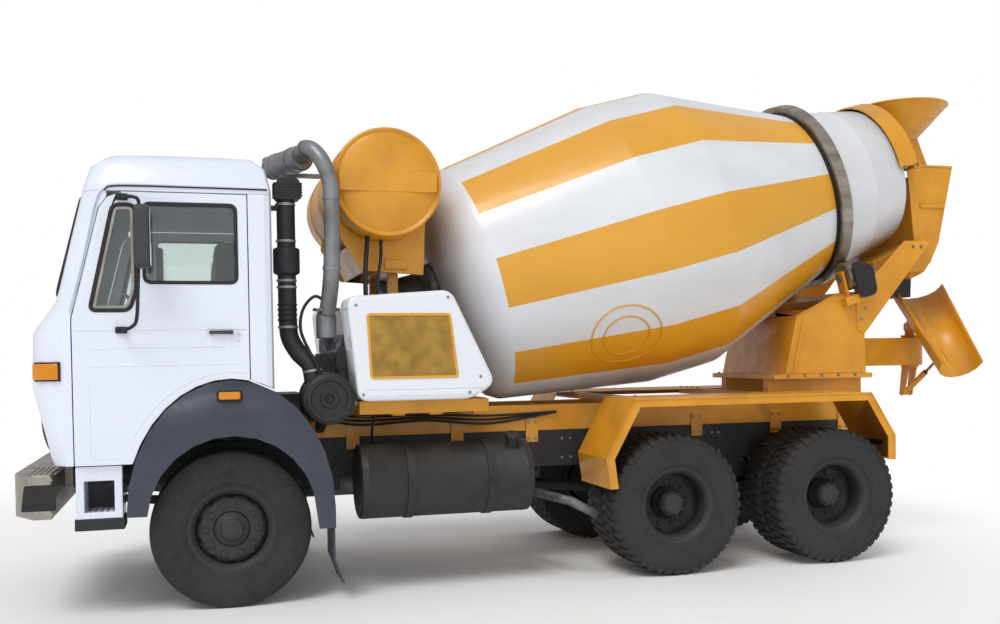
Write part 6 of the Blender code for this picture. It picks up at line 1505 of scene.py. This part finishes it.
# ---------------------------------------------------------------- stage
class MIXER_OT_stage(bpy.types.Operator):
    """Pale floor, soft lights and the camera"""
    bl_idname = "mixer.stage"
    bl_label = "Stage"

    def execute(self, context):
        settings = context.scene.mixer_stage
        self.floor()
        self.light(context.scene, settings)
        self.camera(context.scene, settings)
        context.scene.view_settings.view_transform = "Standard"
        return {"FINISHED"}

    def floor(self):
        bm = bmesh.new()
        bmesh.ops.create_grid(bm, x_segments=1, y_segments=1, size=60)
        mesh = bpy.data.meshes.new("floor")
        bm.to_mesh(mesh)
        bm.free()
        floor = bpy.data.objects.new("floor", mesh)
        bpy.context.scene.collection.objects.link(floor)
        floor.location = SHIFT
        # Painted concrete floor: matt and nearly white.
        mesh.materials.append(surface("floor_paint_matt", linear("#F4F4F2"), 0.85, shade=linear("#EFEFED"),
                                      shade_mm=2500, shade_share=0.5))
        self.fade(mesh.materials[0].node_tree)

    def fade(self, tree):
        """Far from the truck the floor turns as white as the backdrop, with no line between them."""
        place = add(tree, "ShaderNodeTexCoord").outputs["Object"]
        away = add(tree, "ShaderNodeVectorMath", {0: place}, operation="LENGTH").outputs["Value"]
        far = add(tree, "ShaderNodeMapRange", {0: away, 1: 4.0, 2: 8.5}, interpolation_type="SMOOTHSTEP").outputs[0]
        path = add(tree, "ShaderNodeLightPath")
        seen = add(tree, "ShaderNodeMath", {0: path.outputs["Is Camera Ray"], 1: path.outputs["Is Transmission Ray"]},
                   operation="MAXIMUM").outputs[0]
        white = add(tree, "ShaderNodeEmission", {0: (1, 1, 1, 1), 1: 1.0})
        near = tree.nodes["Principled BSDF"].outputs[0]
        both = add(tree, "ShaderNodeMixShader", {0: product(tree, far, seen), 1: near, 2: white.outputs[0]})
        tree.links.new(both.outputs[0], tree.nodes["Material Output"].inputs[0])

    def light(self, scene, settings):
        world = bpy.data.worlds.new("even_sky")
        scene.world = world
        world.use_nodes = True
        tree = world.node_tree
        back = tree.nodes["Background"]
        back.inputs[0].default_value = (*linear("#F6F8FC"), 1)
        back.inputs[1].default_value = settings.sky
        seen = add(tree, "ShaderNodeBackground", {0: (1, 1, 1, 1), 1: 1.0})
        path = add(tree, "ShaderNodeLightPath")
        share = add(tree, "ShaderNodeMath", {0: path.outputs["Is Camera Ray"], 1: path.outputs["Is Transmission Ray"]},
                    operation="MAXIMUM").outputs[0]
        both = add(tree, "ShaderNodeMixShader", {0: share, 1: back.outputs[0], 2: seen.outputs[0]})
        tree.links.new(both.outputs[0], tree.nodes["World Output"].inputs[0])
        for name, strength, angle, direction in (("key_light", settings.key, 28, (0.45, 0.55, -1.0)),
                                                 ("side_light", settings.fill, 60, (0.1, 1.0, -0.25))):
            lamp = bpy.data.lights.new(name, "SUN")
            lamp.energy = strength
            lamp.angle = math.radians(angle)
            holder = bpy.data.objects.new(name, lamp)
            scene.collection.objects.link(holder)
            holder.rotation_mode = "QUATERNION"
            holder.rotation_quaternion = Vector(direction).to_track_quat("-Z", "Y")

    def camera(self, scene, settings):
        data = bpy.data.cameras.new("camera")
        data.lens = settings.lens
        data.sensor_width = 36
        data.shift_x, data.shift_y = settings.shift
        data.clip_end = 200
        holder = bpy.data.objects.new("camera", data)
        scene.collection.objects.link(holder)
        yaw, pitch, roll = settings.yaw, settings.pitch, settings.roll
        ahead = Vector((math.sin(yaw) * math.cos(pitch), math.cos(yaw) * math.cos(pitch), math.sin(pitch)))
        level = Vector((math.cos(yaw), -math.sin(yaw), 0))
        upright = level.cross(ahead)
        right = level * math.cos(roll) + upright * math.sin(roll)
        up = upright * math.cos(roll) - level * math.sin(roll)
        turn = Matrix((right, up, -ahead)).transposed()
        holder.matrix_world = Matrix.Translation(Vector(settings.eye) + SHIFT) @ turn.to_4x4()
        scene.camera = holder


class MIXER_PT_panel(bpy.types.Panel):
    """Lists the truck's settings and steps"""
    bl_idname = "MIXER_PT_panel"
    bl_label = "Mixer Truck"
    bl_space_type = "VIEW_3D"
    bl_region_type = "UI"
    bl_category = "Mixer Truck"

    def draw(self, context):
        for group in ("mixer_colours", "mixer_sizes", "mixer_stage"):
            settings = getattr(context.scene, group)
            column = self.layout.column()
            for name in settings.bl_rna.properties.keys():
                if name not in ("rna_type", "name"):
                    column.prop(settings, name)
        for operator in OPERATORS:
            self.layout.operator(operator.bl_idname)


GROUPS = {"mixer_colours": MixerColours, "mixer_sizes": MixerSizes, "mixer_stage": MixerStage}
OPERATORS = (MIXER_OT_wheels, MIXER_OT_drum, MIXER_OT_doors, MIXER_OT_cab_front, MIXER_OT_cab_inside,
             MIXER_OT_intake, MIXER_OT_drum_drive, MIXER_OT_hoppers, MIXER_OT_rear_fittings, MIXER_OT_sheetwork, MIXER_OT_stage)


def register():
    for kind in (*GROUPS.values(), *OPERATORS, MIXER_PT_panel):
        bpy.utils.register_class(kind)
    for name, group in GROUPS.items():
        setattr(bpy.types.Scene, name, PointerProperty(type=group))


def unregister():
    for name in GROUPS:
        delattr(bpy.types.Scene, name)
    for kind in reversed((*GROUPS.values(), *OPERATORS, MIXER_PT_panel)):
        bpy.utils.unregister_class(kind)


def main():
    """Registers the classes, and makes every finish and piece."""
    register()
    make_finishes(bpy.context.scene.mixer_colours)
    for operator in OPERATORS:
        group, name = operator.bl_idname.split(".")
        getattr(getattr(bpy.ops, group), name)()


if __name__ == "__main__":
    main()
